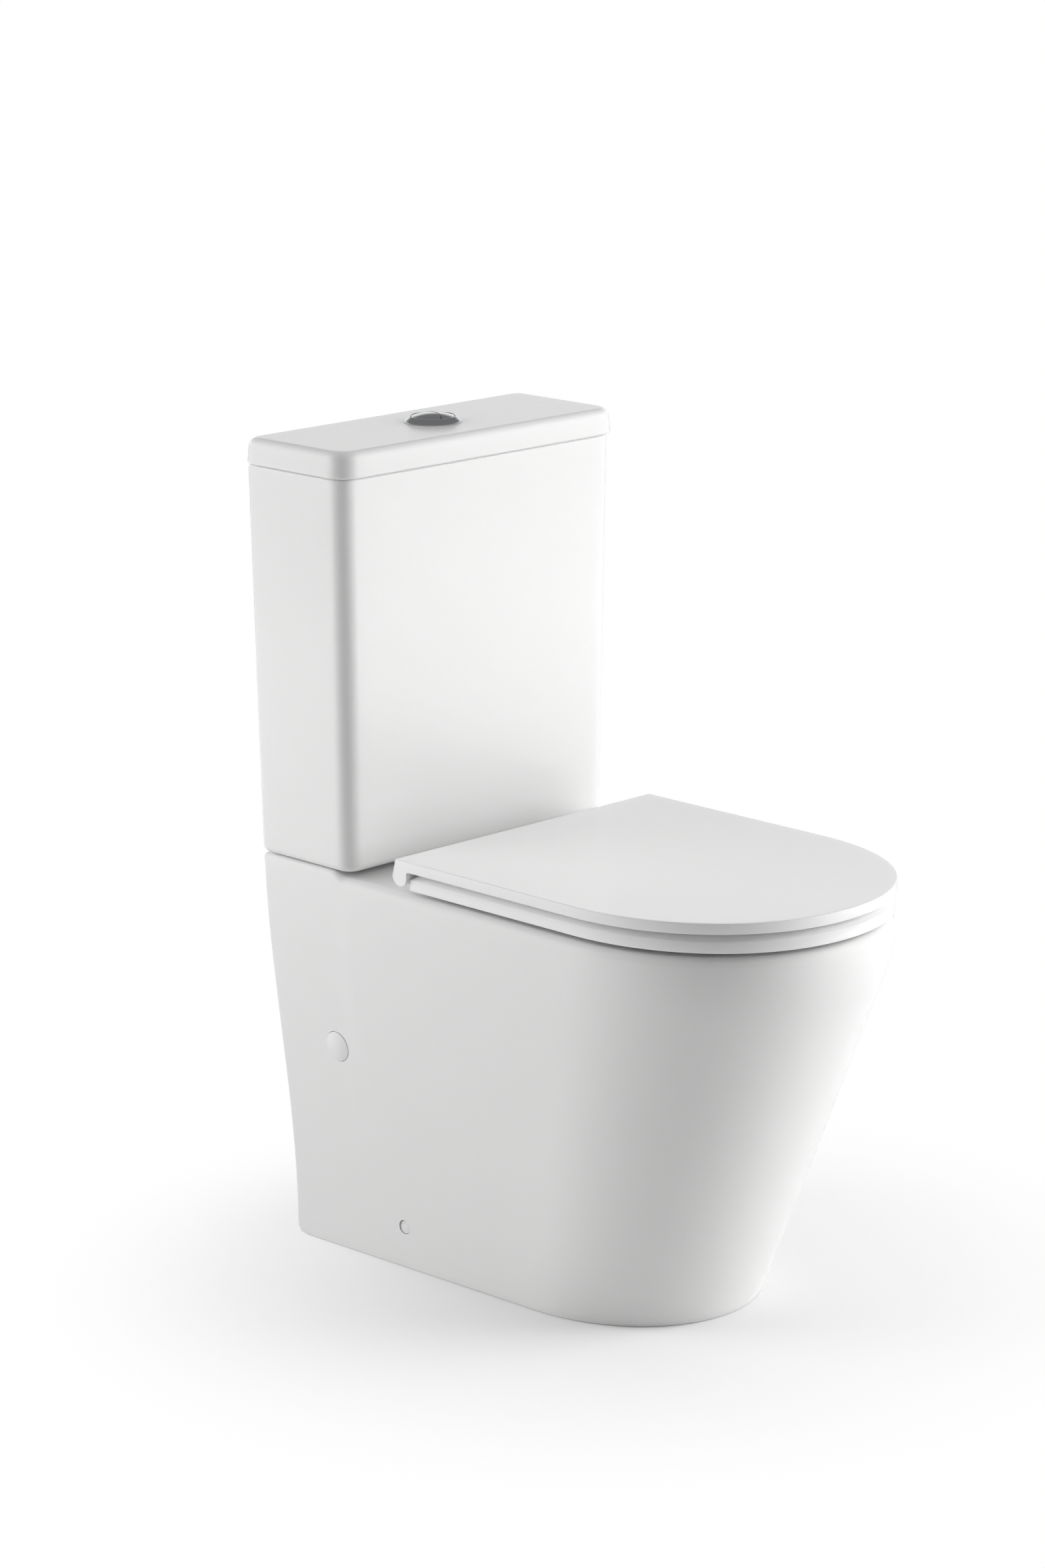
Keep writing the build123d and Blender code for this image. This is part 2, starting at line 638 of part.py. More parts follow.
def make_cistern_lid():
    low = round_box_face(LID_WIDTH, 0, LID_DEPTH, LID_REAR_ROUND, LID_FRONT_ROUND, LID_BOTTOM_Z)
    top_width = LID_WIDTH - 2 * LID_DRAFT
    high = round_box_face(
        top_width, LID_DRAFT, LID_DEPTH - LID_DRAFT, LID_REAR_ROUND, LID_FRONT_ROUND, LID_TOP_Z
    )
    form = loft([low, high], ruled=True)
    form = fillet(form.edges().group_by(Axis.Z)[-1], LID_ROUND)
    form = fillet(form.edges().group_by(Axis.Z)[0], LID_EDGE_ROUND)
    under_z = LID_TOP_Z - LID_PLATE
    pocket = lid_inner_face(LID_WIDTH, LID_DEPTH, LID_RIM_WIDTH, LID_POCKET_ROUNDS, LID_BOTTOM_Z - PAST)
    form -= extrude(pocket, under_z - LID_BOTTOM_Z + PAST, dir=(0, 0, 1))
    rib_z = LID_BOTTOM_Z - LID_RIB_DROP
    inset = TANK_WALL + LID_RIB_CLEAR
    rib_out = lid_inner_face(TANK_TOP_WIDTH, TANK_TOP_DEPTH, inset, LID_RIB_OUTER_ROUNDS, rib_z)
    inset += LID_RIB_WALL
    rib_in = lid_inner_face(TANK_TOP_WIDTH, TANK_TOP_DEPTH, inset, LID_RIB_INNER_ROUNDS, rib_z)
    rib_height = under_z - rib_z + PAST
    form += extrude(rib_out, rib_height, dir=(0, 0, 1)) - extrude(rib_in, rib_height, dir=(0, 0, 1))
    form -= tube(BUTTON_HOLE, LID_BOTTOM_Z, LID_TOP_Z + PAST, 0, BUTTON_SETBACK)
    return form


# ---- dual flush button ----
def make_bezel():
    profile = [
        (BEZEL_BORE, BEZEL_COLLAR_Z),
        (BEZEL_COLLAR, BEZEL_COLLAR_Z),
        (BEZEL_COLLAR, LID_TOP_Z),
        (BEZEL_RADIUS, LID_TOP_Z),
        (BEZEL_RADIUS, LID_TOP_Z + BEZEL_EDGE),
        (BEZEL_BORE + BEZEL_MOUTH, LID_TOP_Z + BEZEL_RISE),
        (BEZEL_BORE, LID_TOP_Z + BEZEL_RISE - BEZEL_MOUTH_DROP),
    ]
    face = make_face(Plane.XZ * Polyline(*profile, close=True))
    ring = revolve(face, Axis.Z)
    floor = Pos(0, 0, BEZEL_FLOOR_Z) * Cylinder(BEZEL_COLLAR - PAST, BEZEL_FLOOR_THICK)
    for side in SIDES:
        hole = Cylinder(ROD_RADIUS + CLEAR, BEZEL_FLOOR_THICK + PAST)
        floor -= Pos(side * ROD_SPREAD, 0, BEZEL_FLOOR_Z) * hole
    return Pos(0, wall(BUTTON_SETBACK), 0) * (ring + floor)


def button_disc():
    rise = BUTTON_TOP_Z - (LID_TOP_Z + BEZEL_RISE - BEZEL_DOME_DROP)
    sphere_radius = (BUTTON_RADIUS**2 + rise**2) / (2 * rise)
    height = BUTTON_TOP_Z - BUTTON_BODY_Z
    disc = Pos(0, 0, BUTTON_BODY_Z + height / 2) * Cylinder(BUTTON_RADIUS, height)
    dome = Pos(0, 0, BUTTON_TOP_Z - sphere_radius) * Sphere(sphere_radius)
    return disc & dome


def make_buttons():
    disc = button_disc()
    height = BUTTON_TOP_Z - BUTTON_BODY_Z + PAST
    middle_z = (BUTTON_TOP_Z + BUTTON_BODY_Z) / 2
    split_x = BUTTON_SPLIT_OFFSET + BUTTON_SPLIT_RADIUS
    middle = Rot(0, 0, BUTTON_SPLIT_TURN) * Pos(split_x, 0, middle_z)
    inner = middle * Cylinder(BUTTON_SPLIT_RADIUS - BUTTON_SPLIT_GAP / 2, height)
    outer = middle * Cylinder(BUTTON_SPLIT_RADIUS + BUTTON_SPLIT_GAP / 2, height)
    place = Pos(0, wall(BUTTON_SETBACK), 0)
    half = place * (disc & inner)
    full = place * (disc - outer)
    return full, half


def push_rod(x):
    rod = tube(ROD_RADIUS, ROD_FOOT_Z, BUTTON_BODY_Z, x, BUTTON_SETBACK)
    foot = tube(ROD_FOOT_RADIUS, ROD_FOOT_Z, ROD_FOOT_Z + ROD_FOOT_HEIGHT, x, BUTTON_SETBACK)
    return rod + foot


def spring_sleeve(x):
    foot = BEZEL_FLOOR_Z + BEZEL_FLOOR_THICK / 2
    return tube(SPRING_RADIUS, foot, BUTTON_BODY_Z, x, BUTTON_SETBACK, SPRING_BORE)


def make_locknut():
    top = LID_TOP_Z - LID_PLATE
    nut = tube(LOCKNUT_RADIUS, top - LOCKNUT_HEIGHT, top, 0, BUTTON_SETBACK, BEZEL_COLLAR)
    middle = Pos(0, wall(BUTTON_SETBACK), top - LOCKNUT_HEIGHT / 2)
    grip = Pos(LOCKNUT_RADIUS, 0, 0) * Box(LOCKNUT_GRIP_DEPTH, LOCKNUT_GRIP_WIDTH, LOCKNUT_HEIGHT)
    for place in range(LOCKNUT_GRIPS):
        nut += middle * Rot(0, 0, place * FULL_TURN / LOCKNUT_GRIPS) * grip
    return nut


# ---- flush valve ----
def make_valve_base():
    floor_z = TANK_BOTTOM_Z + TANK_FLOOR + WASHER_THICK
    tail = tube(VALVE_TAIL, VALVE_TAIL_Z, floor_z + PAST, 0, VALVE_SETBACK, VALVE_TAIL_BORE)
    flange = tube(VALVE_FLANGE, floor_z, floor_z + VALVE_FLANGE_THICK, 0, VALVE_SETBACK, VALVE_TAIL_BORE)
    rim = VALVE_TAIL_BORE + VALVE_SEAT_WALL
    seat = tube(rim, floor_z, VALVE_SEAT_Z, 0, VALVE_SETBACK, VALVE_TAIL_BORE)
    return tail + flange + seat


def make_valve_cage():
    base_z = TANK_BOTTOM_Z + TANK_FLOOR + WASHER_THICK + VALVE_FLANGE_THICK
    head_z = CAGE_TOP_Z - HEAD_HEIGHT
    body = tube(CAGE_FOOT_RADIUS, base_z, base_z + CAGE_FOOT_HEIGHT, 0, VALVE_SETBACK, CAGE_FOOT_BORE)
    for level in CAGE_RINGS_Z:
        body += tube(CAGE_OUTER, level, level + CAGE_RING_HEIGHT, 0, VALVE_SETBACK, CAGE_RING_BORE)
    for place in range(CAGE_POST_COUNT):
        angle = math.radians((place + 0.5) * FULL_TURN / CAGE_POST_COUNT)
        x = CAGE_POST_CIRCLE * math.cos(angle)
        setback = VALVE_SETBACK + CAGE_POST_CIRCLE * math.sin(angle)
        body += tube(CAGE_POST_RADIUS, base_z, CAGE_TOP_Z, x, setback)
    body += tube(CAGE_OUTER, head_z, CAGE_TOP_Z, 0, VALVE_SETBACK)
    body -= tube(PLUNGER_RADIUS + PLUNGER_CLEAR, head_z - PAST, CAGE_TOP_Z - HEAD_CROWN, 0, VALVE_SETBACK)
    for side in SIDES:
        hole = ACTUATOR_RADIUS + CLEAR
        body -= tube(hole, ACTUATOR_FOOT_Z, CAGE_TOP_Z + PAST, side * ROD_SPREAD, BUTTON_SETBACK)
    return body


def make_plunger():
    foot = VALVE_SEAT_Z + SEAL_THICK
    stem = tube(PLUNGER_RADIUS, foot, PLUNGER_TOP_Z, 0, VALVE_SETBACK, PLUNGER_BORE)
    disc = tube(PLUNGER_DISC_RADIUS, foot, foot + PLUNGER_DISC_THICK, 0, VALVE_SETBACK, PLUNGER_BORE)
    return stem + disc


def actuator(x):
    return tube(ACTUATOR_RADIUS, ACTUATOR_FOOT_Z, ACTUATOR_TOP_Z, x, BUTTON_SETBACK)


# ---- fill valve ----
def fill_tube(radius, bottom, top, bore=0.0):
    """Upright bar or pipe on the fill valve's axis."""
    return tube(radius, bottom, top, SUPPLY_X, FILL_SETBACK, bore)


def fill_block(reach, half_width, z_low, z_high, offset=0.0):
    """Block beside the fill valve, from reach[0] to reach[1] towards the flush valve."""
    middle = FILL_SETBACK + offset
    x_low, x_high = SUPPLY_X - reach[0], SUPPLY_X - reach[1]
    return block(x_low, x_high, middle - half_width, middle + half_width, z_low, z_high)


def pivot_bar(radius, length):
    """Bar on the float arm's pivot axis."""
    return Pos(SUPPLY_X - ARM_PIVOT_OFFSET, wall(FILL_SETBACK), ARM_PIVOT_Z) * Rot(90, 0, 0) * Cylinder(radius, length)


def make_fill_shank():
    floor_z = TANK_BOTTOM_Z + TANK_FLOOR + WASHER_THICK
    tail_top = FILL_TAIL_Z + FILL_TAIL_LENGTH
    tail = fill_tube(FILL_TAIL_RADIUS, FILL_TAIL_Z, tail_top, FILL_TAIL_BORE)
    neck = fill_tube(FILL_NECK_RADIUS, tail_top, floor_z + PAST, FILL_TAIL_BORE)
    flange = fill_tube(FILL_FLANGE, floor_z, floor_z + FILL_FLANGE_THICK, FILL_TAIL_BORE)
    riser = fill_tube(FILL_RISER, floor_z, FILL_HEAD_Z, FILL_TAIL_BORE)
    return tail + neck + flange + riser


def make_fill_head():
    body = fill_tube(FILL_HEAD_RADIUS, FILL_HEAD_Z, FILL_HEAD_Z + FILL_HEAD_HEIGHT)
    for side in SIDES:
        body += fill_block(EAR_REACH, EAR_HALF_THICK, *EAR_Z, side * EAR_OFFSET)
    return body - pivot_bar(ARM_PIN, BEYOND)


def make_arm():
    low, high = ARM_PIVOT_Z - ARM_HALF_HEIGHT, ARM_PIVOT_Z + ARM_HALF_HEIGHT
    return fill_block(ARM_REACH, ARM_HALF_WIDTH, low, high) - pivot_bar(ARM_PIN + HINGE_CLEAR, BEYOND)


def make_float():
    low, high = FLOAT_Z
    cup = fill_tube(FLOAT_OUTER, low, high, FLOAT_BORE)
    hollow = fill_tube(FLOAT_OUTER - FLOAT_WALL, low + FLOAT_WALL, high + PAST, FLOAT_BORE + FLOAT_WALL)
    lug = fill_block(FLOAT_LUG, ARM_HALF_WIDTH, high - FLOAT_LUG_HEIGHT, high)
    hole = tube(FLOAT_ROD_RADIUS + FLOAT_ROD_CLEAR, low, high + PAST, SUPPLY_X - FLOAT_ROD_OFFSET, FILL_SETBACK)
    return cup - hollow + (lug - hole)


def make_float_rod():
    return tube(FLOAT_ROD_RADIUS, *FLOAT_ROD_Z, SUPPLY_X - FLOAT_ROD_OFFSET, FILL_SETBACK)


# ---- close coupling ----
def cistern_fixings():
    floor_z = TANK_BOTTOM_Z + TANK_FLOOR
    head_z = floor_z + BOLT_SEAL_THICK
    under = DECK_Z - DECK_SLAB
    nut_top = under - BOLT_WASHER_THICK
    hub_z = nut_top - WING_HUB_HEIGHT
    bolts, seals, pads, washers, nuts = [], [], [], [], []
    for side in SIDES:
        place = (side * BOLT_X, VALVE_SETBACK)
        shank = tube(BOLT_RADIUS, BOLT_FOOT_Z, head_z + PAST, *place)
        bolts.append(shank + tube(BOLT_HEAD_RADIUS, head_z, head_z + BOLT_HEAD_HEIGHT, *place))
        seals.append(tube(BOLT_SEAL_RADIUS, floor_z, head_z, *place, BOLT_RADIUS))
        pads.append(tube(BOLT_PAD_RADIUS, DECK_Z, TANK_BOTTOM_Z, *place, BOLT_HOLE))
        washers.append(tube(BOLT_WASHER_RADIUS, nut_top, under, *place, BOLT_RADIUS))
        nuts.append(wing_nut(*place, hub_z, nut_top, WING_HUB_RADIUS, WING_REACH, WING_DROP, WING_RISE))
    return [Compound(children=group) for group in (bolts, seals, pads, washers, nuts)]


def wing_nut(x, setback, low, high, radius, reach, drop, rise):
    """Hub round a bolt with two flat wings that start inside it and reach out along X."""
    hub = tube(radius, low, high, x, setback, BOLT_RADIUS)
    limits = (setback - WING_HALF_THICK, setback + WING_HALF_THICK, low - drop, high - rise)
    wings = block(x - reach, x + reach, *limits) - tube(radius - PAST, low - drop - PAST, high, x, setback)
    return hub + wings


# ---- seat ----
def seat_face(z, inset=0.0, rear=SEAT_REAR, nose_inset=0.0):
    return nose_outline(
        rear, SEAT_HALF - inset, SEAT_NOSE_START, SEAT_HALF - inset, SEAT_NOSE_LENGTH - nose_inset, 0.0, z
    )


def hinge_band(side, inner_x, outer_x, setbacks):
    """Box over one hinge's width, for cutting the hook or the ring."""
    x_low, x_high = sorted((side * inner_x, side * outer_x))
    return block(x_low, x_high, *setbacks, HOOK_NOTCH_FOOT_Z, COVER_TOP_Z - COVER_THICK)


def hinge_bar(side, radius, inner_x, outer_x, bore=0.0):
    """Bar or pipe on the hinge axis of one side."""
    x_low, x_high = sorted((side * inner_x, side * outer_x))
    return cross_bar(radius, x_low, x_high, HINGE_SETBACK, HINGE_Z, bore)


def make_cover():
    plate = extrude(seat_face(COVER_TOP_Z - COVER_THICK), COVER_THICK, dir=(0, 0, 1))
    plate = chamfer(plate.edges().group_by(Axis.Z)[-1], COVER_EDGE)
    body = plate + side_profile(HOOK_PROFILE, SEAT_HALF)
    for side in SIDES:
        body -= hinge_band(side, RING_KNUCKLE[0] - KNUCKLE_GAP, POST_SIDES[1] + KNUCKLE_GAP, HOOK_NOTCH)
        body -= hinge_bar(side, DAMPER_RADIUS, POST_SIDES[1] - DAMPER_SOCKET, COVER_KNUCKLE[1] + KNUCKLE_GAP)
    return body


def make_ring():
    foot = seat_face(RING_BOTTOM_Z, RING_INSET, RING_REAR, RING_NOSE_INSET)
    side_body = extrude(foot, RING_SIDE_Z - RING_BOTTOM_Z, dir=(0, 0, 1))
    crown = loft(
        [
            seat_face(RING_SIDE_Z, RING_INSET, RING_REAR, RING_NOSE_INSET),
            seat_face(
                RING_TOP_Z,
                RING_INSET + RING_BEVEL,
                RING_REAR + RING_REAR_BEVEL,
                RING_NOSE_INSET + RING_BEVEL,
            ),
        ],
        ruled=True,
    )
    middle = (RING_HOLE_FRONT + RING_HOLE_REAR) / 2
    half_length = (RING_HOLE_FRONT - RING_HOLE_REAR) / 2
    ellipses = []
    for z, flare in ((RING_BOTTOM_Z - PAST, RING_HOLE_FLARE), (RING_TOP_Z + PAST, 0.0)):
        outline = Ellipse(RING_HOLE_HALF + flare, half_length + flare).edges()
        ellipses.append(Pos(0, wall(middle), z) * make_face(outline))
    body = side_body + crown - loft(ellipses, ruled=True)
    for side in SIDES:
        body -= hinge_band(side, POST_SIDES[0] - KNUCKLE_GAP, POST_SIDES[1] + KNUCKLE_GAP, HINGE_SLOT)
        low, high = sorted(side * x for x in RING_KNUCKLE)
        arm_z = (HINGE_Z - KNUCKLE_RADIUS, HINGE_Z + KNUCKLE_ARM_RISE)
        body += block(low, high, HINGE_SETBACK, KNUCKLE_ARM_END, *arm_z)
        body += hinge_bar(side, KNUCKLE_RADIUS, *RING_KNUCKLE)
        body -= hinge_bar(side, DAMPER_RADIUS, RING_KNUCKLE[0] - PAST, RING_KNUCKLE[1] + PAST)
    return body


def hinge_post(side):
    """Foot, bridge and eye of one hinge, fixed on the rim."""
    low, high = sorted(side * x for x in POST_SIDES)
    x = side * POST_X
    top = RIM_Z + POST_FOOT_HEIGHT
    front = HINGE_SETBACK + HINGE_BARREL
    post = tube(POST_FOOT_RADIUS, RIM_Z, top, x, POST_FOOT_SETBACK)
    post += block(low, high, POST_FOOT_SETBACK, front, RIM_Z, top)
    post += block(low, high, HINGE_SETBACK - HINGE_BARREL, front, RIM_Z, HINGE_Z)
    post += hinge_bar(side, HINGE_BARREL, *POST_SIDES)
    post -= hinge_bar(side, HINGE_PIN, POST_SIDES[0] - PAST, POST_SIDES[1] + PAST)
    post -= tube(SEAT_BOLT_RADIUS, RIM_Z - PAST, top - SEAT_BOLT_COVER, x, POST_FOOT_SETBACK)
    return post


def hinge_bush(x):
    """Rubber bush in the rim's hole with its flange underneath."""
    nut_top = SEAT_NUT_Z[1]
    place = (x, POST_FOOT_SETBACK, SEAT_BOLT_RADIUS)
    sleeve = tube(SEAT_BUSH_RADIUS, nut_top, RIM_Z, *place)
    return sleeve + tube(SEAT_BUSH_FLANGE, nut_top, CAVITY_TOP_Z, *place)


def hinge_nut(x):
    """Hub and flat wings under the bush."""
    low, high = SEAT_NUT_Z
    hub = tube(SEAT_NUT_RADIUS, low, high, x, POST_FOOT_SETBACK, SEAT_BOLT_RADIUS)
    thick = (POST_FOOT_SETBACK - WING_HALF_THICK, POST_FOOT_SETBACK + WING_HALF_THICK)
    wings = block(x - SEAT_WING_REACH, x + SEAT_WING_REACH, *thick, low, high)
    return hub + (wings - tube(SEAT_WING_CORE, low - PAST, high + PAST, x, POST_FOOT_SETBACK))


def make_hinges():
    posts, pins, ring_dampers, cover_dampers, bolts, bushes, nuts = [], [], [], [], [], [], []
    bore = HINGE_PIN + HINGE_CLEAR
    for side in SIDES:
        x = side * POST_X
        posts.append(hinge_post(side))
        pins.append(hinge_bar(side, HINGE_PIN, RING_KNUCKLE[0] + HINGE_PIN_SHORT, COVER_KNUCKLE[1] - HINGE_PIN_SHORT))
        ring_dampers.append(hinge_bar(side, DAMPER_RADIUS, *RING_KNUCKLE, bore))
        cover_dampers.append(hinge_bar(side, DAMPER_RADIUS, *COVER_KNUCKLE, bore))
        bolt_top = RIM_Z + POST_FOOT_HEIGHT - SEAT_BOLT_COVER
        bolts.append(tube(SEAT_BOLT_RADIUS, SEAT_BOLT_FOOT_Z, bolt_top, x, POST_FOOT_SETBACK))
        bushes.append(hinge_bush(x))
        nuts.append(hinge_nut(x))
    groups = (posts, pins, ring_dampers, cover_dampers, bolts, bushes, nuts)
    return [Compound(children=group) for group in groups]


def buffer_group(bottom, top, places):
    pads = []
    for x, setback in places:
        for side in SIDES:
            pads.append(tube(BUFFER_RADIUS, bottom, top, side * x, setback))
    return Compound(children=pads)


# ---- build and write ----
os.makedirs("parts", exist_ok=True)
pan, pan_bowl, pan_trap, pan_form = make_pan()
brackets, side_screws, side_caps = foot_fixings()
full_button, half_button = make_buttons()
bolts, bolt_seals, pads, bolt_washers, wing_nuts = cistern_fixings()
posts, pins, ring_dampers, cover_dampers, seat_bolts, bushes, seat_nuts = make_hinges()
FLOOR_Z = TANK_BOTTOM_Z + TANK_FLOOR

nodes = {
    "pan": pan,
    "pan_bowl": pan_bowl,
    "pan_trap": pan_trap,
    "access_caps": access_caps(pan_form),
    "floor_brackets": brackets,
    "bracket_screws": side_screws,
    "screw_caps": side_caps,
    "cistern_tank": make_tank(),
    "cistern_lid": make_cistern_lid(),
    "button_bezel": make_bezel(),
    "bezel_locknut": make_locknut(),
    "full_flush_button": full_button,
    "half_flush_button": half_button,
    "full_push_rod": push_rod(ROD_SPREAD),
    "half_push_rod": push_rod(-ROD_SPREAD),
    "full_button_spring": spring_sleeve(ROD_SPREAD),
    "half_button_spring": spring_sleeve(-ROD_SPREAD),
    "full_actuator": actuator(ROD_SPREAD),
    "half_actuator": actuator(-ROD_SPREAD),
    "flush_valve_base": make_valve_base(),
    "flush_valve_cage": make_valve_cage(),
    "overflow_tube": make_plunger(),
    "flush_float": tube(
        PLUNGER_FLOAT_RADIUS, PLUNGER_FLOAT_Z[0], PLUNGER_FLOAT_Z[1], 0, VALVE_SETBACK, PLUNGER_RADIUS
    ),
    "flush_seal": tube(SEAL_RADIUS, VALVE_SEAT_Z, VALVE_SEAT_Z + SEAL_THICK, 0, VALVE_SETBACK, PLUNGER_BORE),
    "flush_valve_washer": tube(VALVE_FLANGE, FLOOR_Z, FLOOR_Z + WASHER_THICK, 0, VALVE_SETBACK, VALVE_TAIL),
    "flush_valve_backnut": tube(
        VALVE_NUT_RADIUS, TANK_BOTTOM_Z - VALVE_NUT_HEIGHT, TANK_BOTTOM_Z, 0, VALVE_SETBACK, VALVE_TAIL
    ),
    "coupling_gasket": tube(
        GASKET_OUTER, INLET_WELL_Z, TANK_BOTTOM_Z - VALVE_NUT_HEIGHT, 0, VALVE_SETBACK, VALVE_TAIL
    ),
    "fill_valve_shank": make_fill_shank(),
    "fill_valve_washer": tube(
        FILL_FLANGE, FLOOR_Z, FLOOR_Z + WASHER_THICK, SUPPLY_X, FILL_SETBACK, FILL_NECK_RADIUS
    ),
    "fill_valve_locknut": tube(
        FILL_NUT_RADIUS, TANK_BOTTOM_Z - FILL_NUT_HEIGHT, TANK_BOTTOM_Z, SUPPLY_X, FILL_SETBACK, FILL_NECK_RADIUS
    ),
    "fill_valve_head": make_fill_head(),
    "fill_valve_cap": tube(
        FILL_CAP_RADIUS,
        FILL_HEAD_Z + FILL_HEAD_HEIGHT,
        FILL_HEAD_Z + FILL_HEAD_HEIGHT + FILL_CAP_HEIGHT,
        SUPPLY_X,
        FILL_SETBACK,
    ),
    "float_arm": make_arm(),
    "float_arm_pin": pivot_bar(ARM_PIN, ARM_PIN_LENGTH),
    "float_cup": make_float(),
    "float_rod": make_float_rod(),
    "cistern_bolts": bolts,
    "bolt_seals": bolt_seals,
    "cistern_pads": pads,
    "bolt_washers": bolt_washers,
    "wing_nuts": wing_nuts,
    "seat_cover": make_cover(),
    "seat_ring": make_ring(),
    "hinge_posts": posts,
    "hinge_pins": pins,
    "ring_dampers": ring_dampers,
    "cover_dampers": cover_dampers,
    "seat_bolts": seat_bolts,
    "seat_bushes": bushes,
    "seat_nuts": seat_nuts,
    "cover_buffers": buffer_group(RING_TOP_Z, COVER_TOP_Z - COVER_THICK, COVER_BUFFERS),
    "ring_buffers": buffer_group(RIM_Z, RING_BOTTOM_Z, RING_BUFFERS),
}
for name, shape in nodes.items():
    export_step(shape, f"parts/{name}.step")
    print(name, round(shape.volume), shape.bounding_box())
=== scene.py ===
"""Close coupled toilet: glazed china, moulded seat, chrome button and valve works on the CAD frame."""

import json
import logging
import math
from dataclasses import dataclass
from enum import Enum

import bmesh
import bpy
import numpy as np
from mathutils import Matrix, Vector


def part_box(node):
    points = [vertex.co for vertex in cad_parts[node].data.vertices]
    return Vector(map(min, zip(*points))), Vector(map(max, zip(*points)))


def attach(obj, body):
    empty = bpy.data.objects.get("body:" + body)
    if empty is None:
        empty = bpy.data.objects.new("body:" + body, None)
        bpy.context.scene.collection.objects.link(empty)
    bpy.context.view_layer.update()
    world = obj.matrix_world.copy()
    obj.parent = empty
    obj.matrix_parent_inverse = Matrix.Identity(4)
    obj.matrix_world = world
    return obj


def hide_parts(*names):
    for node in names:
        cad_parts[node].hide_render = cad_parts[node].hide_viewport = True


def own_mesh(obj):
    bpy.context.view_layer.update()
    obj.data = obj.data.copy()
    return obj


LOG = logging.getLogger("toilet")
MM = 0.001
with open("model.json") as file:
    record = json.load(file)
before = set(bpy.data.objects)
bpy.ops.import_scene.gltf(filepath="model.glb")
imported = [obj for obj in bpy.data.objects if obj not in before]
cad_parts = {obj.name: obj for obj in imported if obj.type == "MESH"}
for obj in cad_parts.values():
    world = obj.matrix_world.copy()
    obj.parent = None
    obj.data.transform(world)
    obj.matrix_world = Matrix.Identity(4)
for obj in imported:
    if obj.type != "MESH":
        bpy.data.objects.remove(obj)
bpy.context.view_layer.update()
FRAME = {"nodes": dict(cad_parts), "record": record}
WALL_Y = float(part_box("pan")[1].y) / MM


class Body(Enum):
    """Moving bodies of the frame that new pieces ride on."""

    FIXED = "pan_and_cistern"
    LID = "cistern_lid"
    FULL_BUTTON = "full_button"
    HALF_BUTTON = "half_button"
    COVER = "seat_cover"
    RING = "seat_ring"


class Slot(Enum):
    """Material slots of the record that new pieces take their finish from."""

    CHINA = "china"
    SEAT = "seat_resin"
    CHROME = "button_chrome"
    STEEL = "steel_bolt"


# ---------------------------------------------------------------- mesh tools


def smooth_step(t: np.ndarray) -> np.ndarray:
    """Soft step 3t^2 - 2t^3 on t held to 0..1."""
    t = np.clip(t, 0.0, 1.0)
    return t * t * (3.0 - 2.0 * t)


def to_world(x: np.ndarray, setback: np.ndarray, z: np.ndarray) -> np.ndarray:
    """Stacks x, setback from the wall and height, in millimetres, into metres in the row frame."""
    x, setback, z = np.broadcast_arrays(x, setback, z)
    return np.stack([x, WALL_Y - setback, z], axis=-1).astype(float) * MM


def new_object(name: str, vertices: np.ndarray, faces: list, angle: float = 32.0) -> bpy.types.Object:
    """Makes a mesh object with outward normals, smooth but for edges sharper than an angle.

    Args:
        name: Object's name.
        vertices: Points in metres, one row each.
        faces: Lists of vertex numbers.
        angle: Edges bent by more degrees than this stay crisp.

    Returns:
        The linked object, at the origin.
    """
    mesh = bpy.data.meshes.new(name)
    mesh.from_pydata(vertices.reshape(-1, 3).tolist(), [], faces)
    mesh.update()
    obj = bpy.data.objects.new(name, mesh)
    bpy.context.scene.collection.objects.link(obj)
    tidy_normals(obj, angle)
    return obj


def tidy_normals(obj: bpy.types.Object, angle: float) -> None:
    """Merges doubles, turns every closed shell's faces outwards and marks sharp edges by angle."""
    work = bmesh.new()
    work.from_mesh(obj.data)
    bmesh.ops.remove_doubles(work, verts=work.verts, dist=2e-6)
    bmesh.ops.dissolve_degenerate(work, edges=work.edges, dist=1e-6)
    bmesh.ops.recalc_face_normals(work, faces=work.faces)
    work.to_mesh(obj.data)
    work.free()
    shade(obj, angle)


def shade(obj: bpy.types.Object, angle: float) -> None:
    """Smooth shading with edges sharper than angle, in degrees, kept crisp."""
    obj.data.shade_smooth()
    obj.data.set_sharp_from_angle(angle=math.radians(angle))


def grid_faces(rows: int, cols: int, wrap_rows: bool) -> list:
    """Quads between rows of a grid whose columns close on themselves.

    Args:
        rows: Number of loops.
        cols: Points in each loop.
        wrap_rows: Whether the last loop joins the first.

    Returns:
        Faces as lists of vertex numbers.
    """
    last = rows if wrap_rows else rows - 1
    r, c = np.meshgrid(np.arange(last), np.arange(cols), indexing="ij")
    up = (r + 1) % rows
    side = (c + 1) % cols
    quads = np.stack([r * cols + c, r * cols + side, up * cols + side, up * cols + c], axis=-1)
    return quads.reshape(-1, 4).tolist()


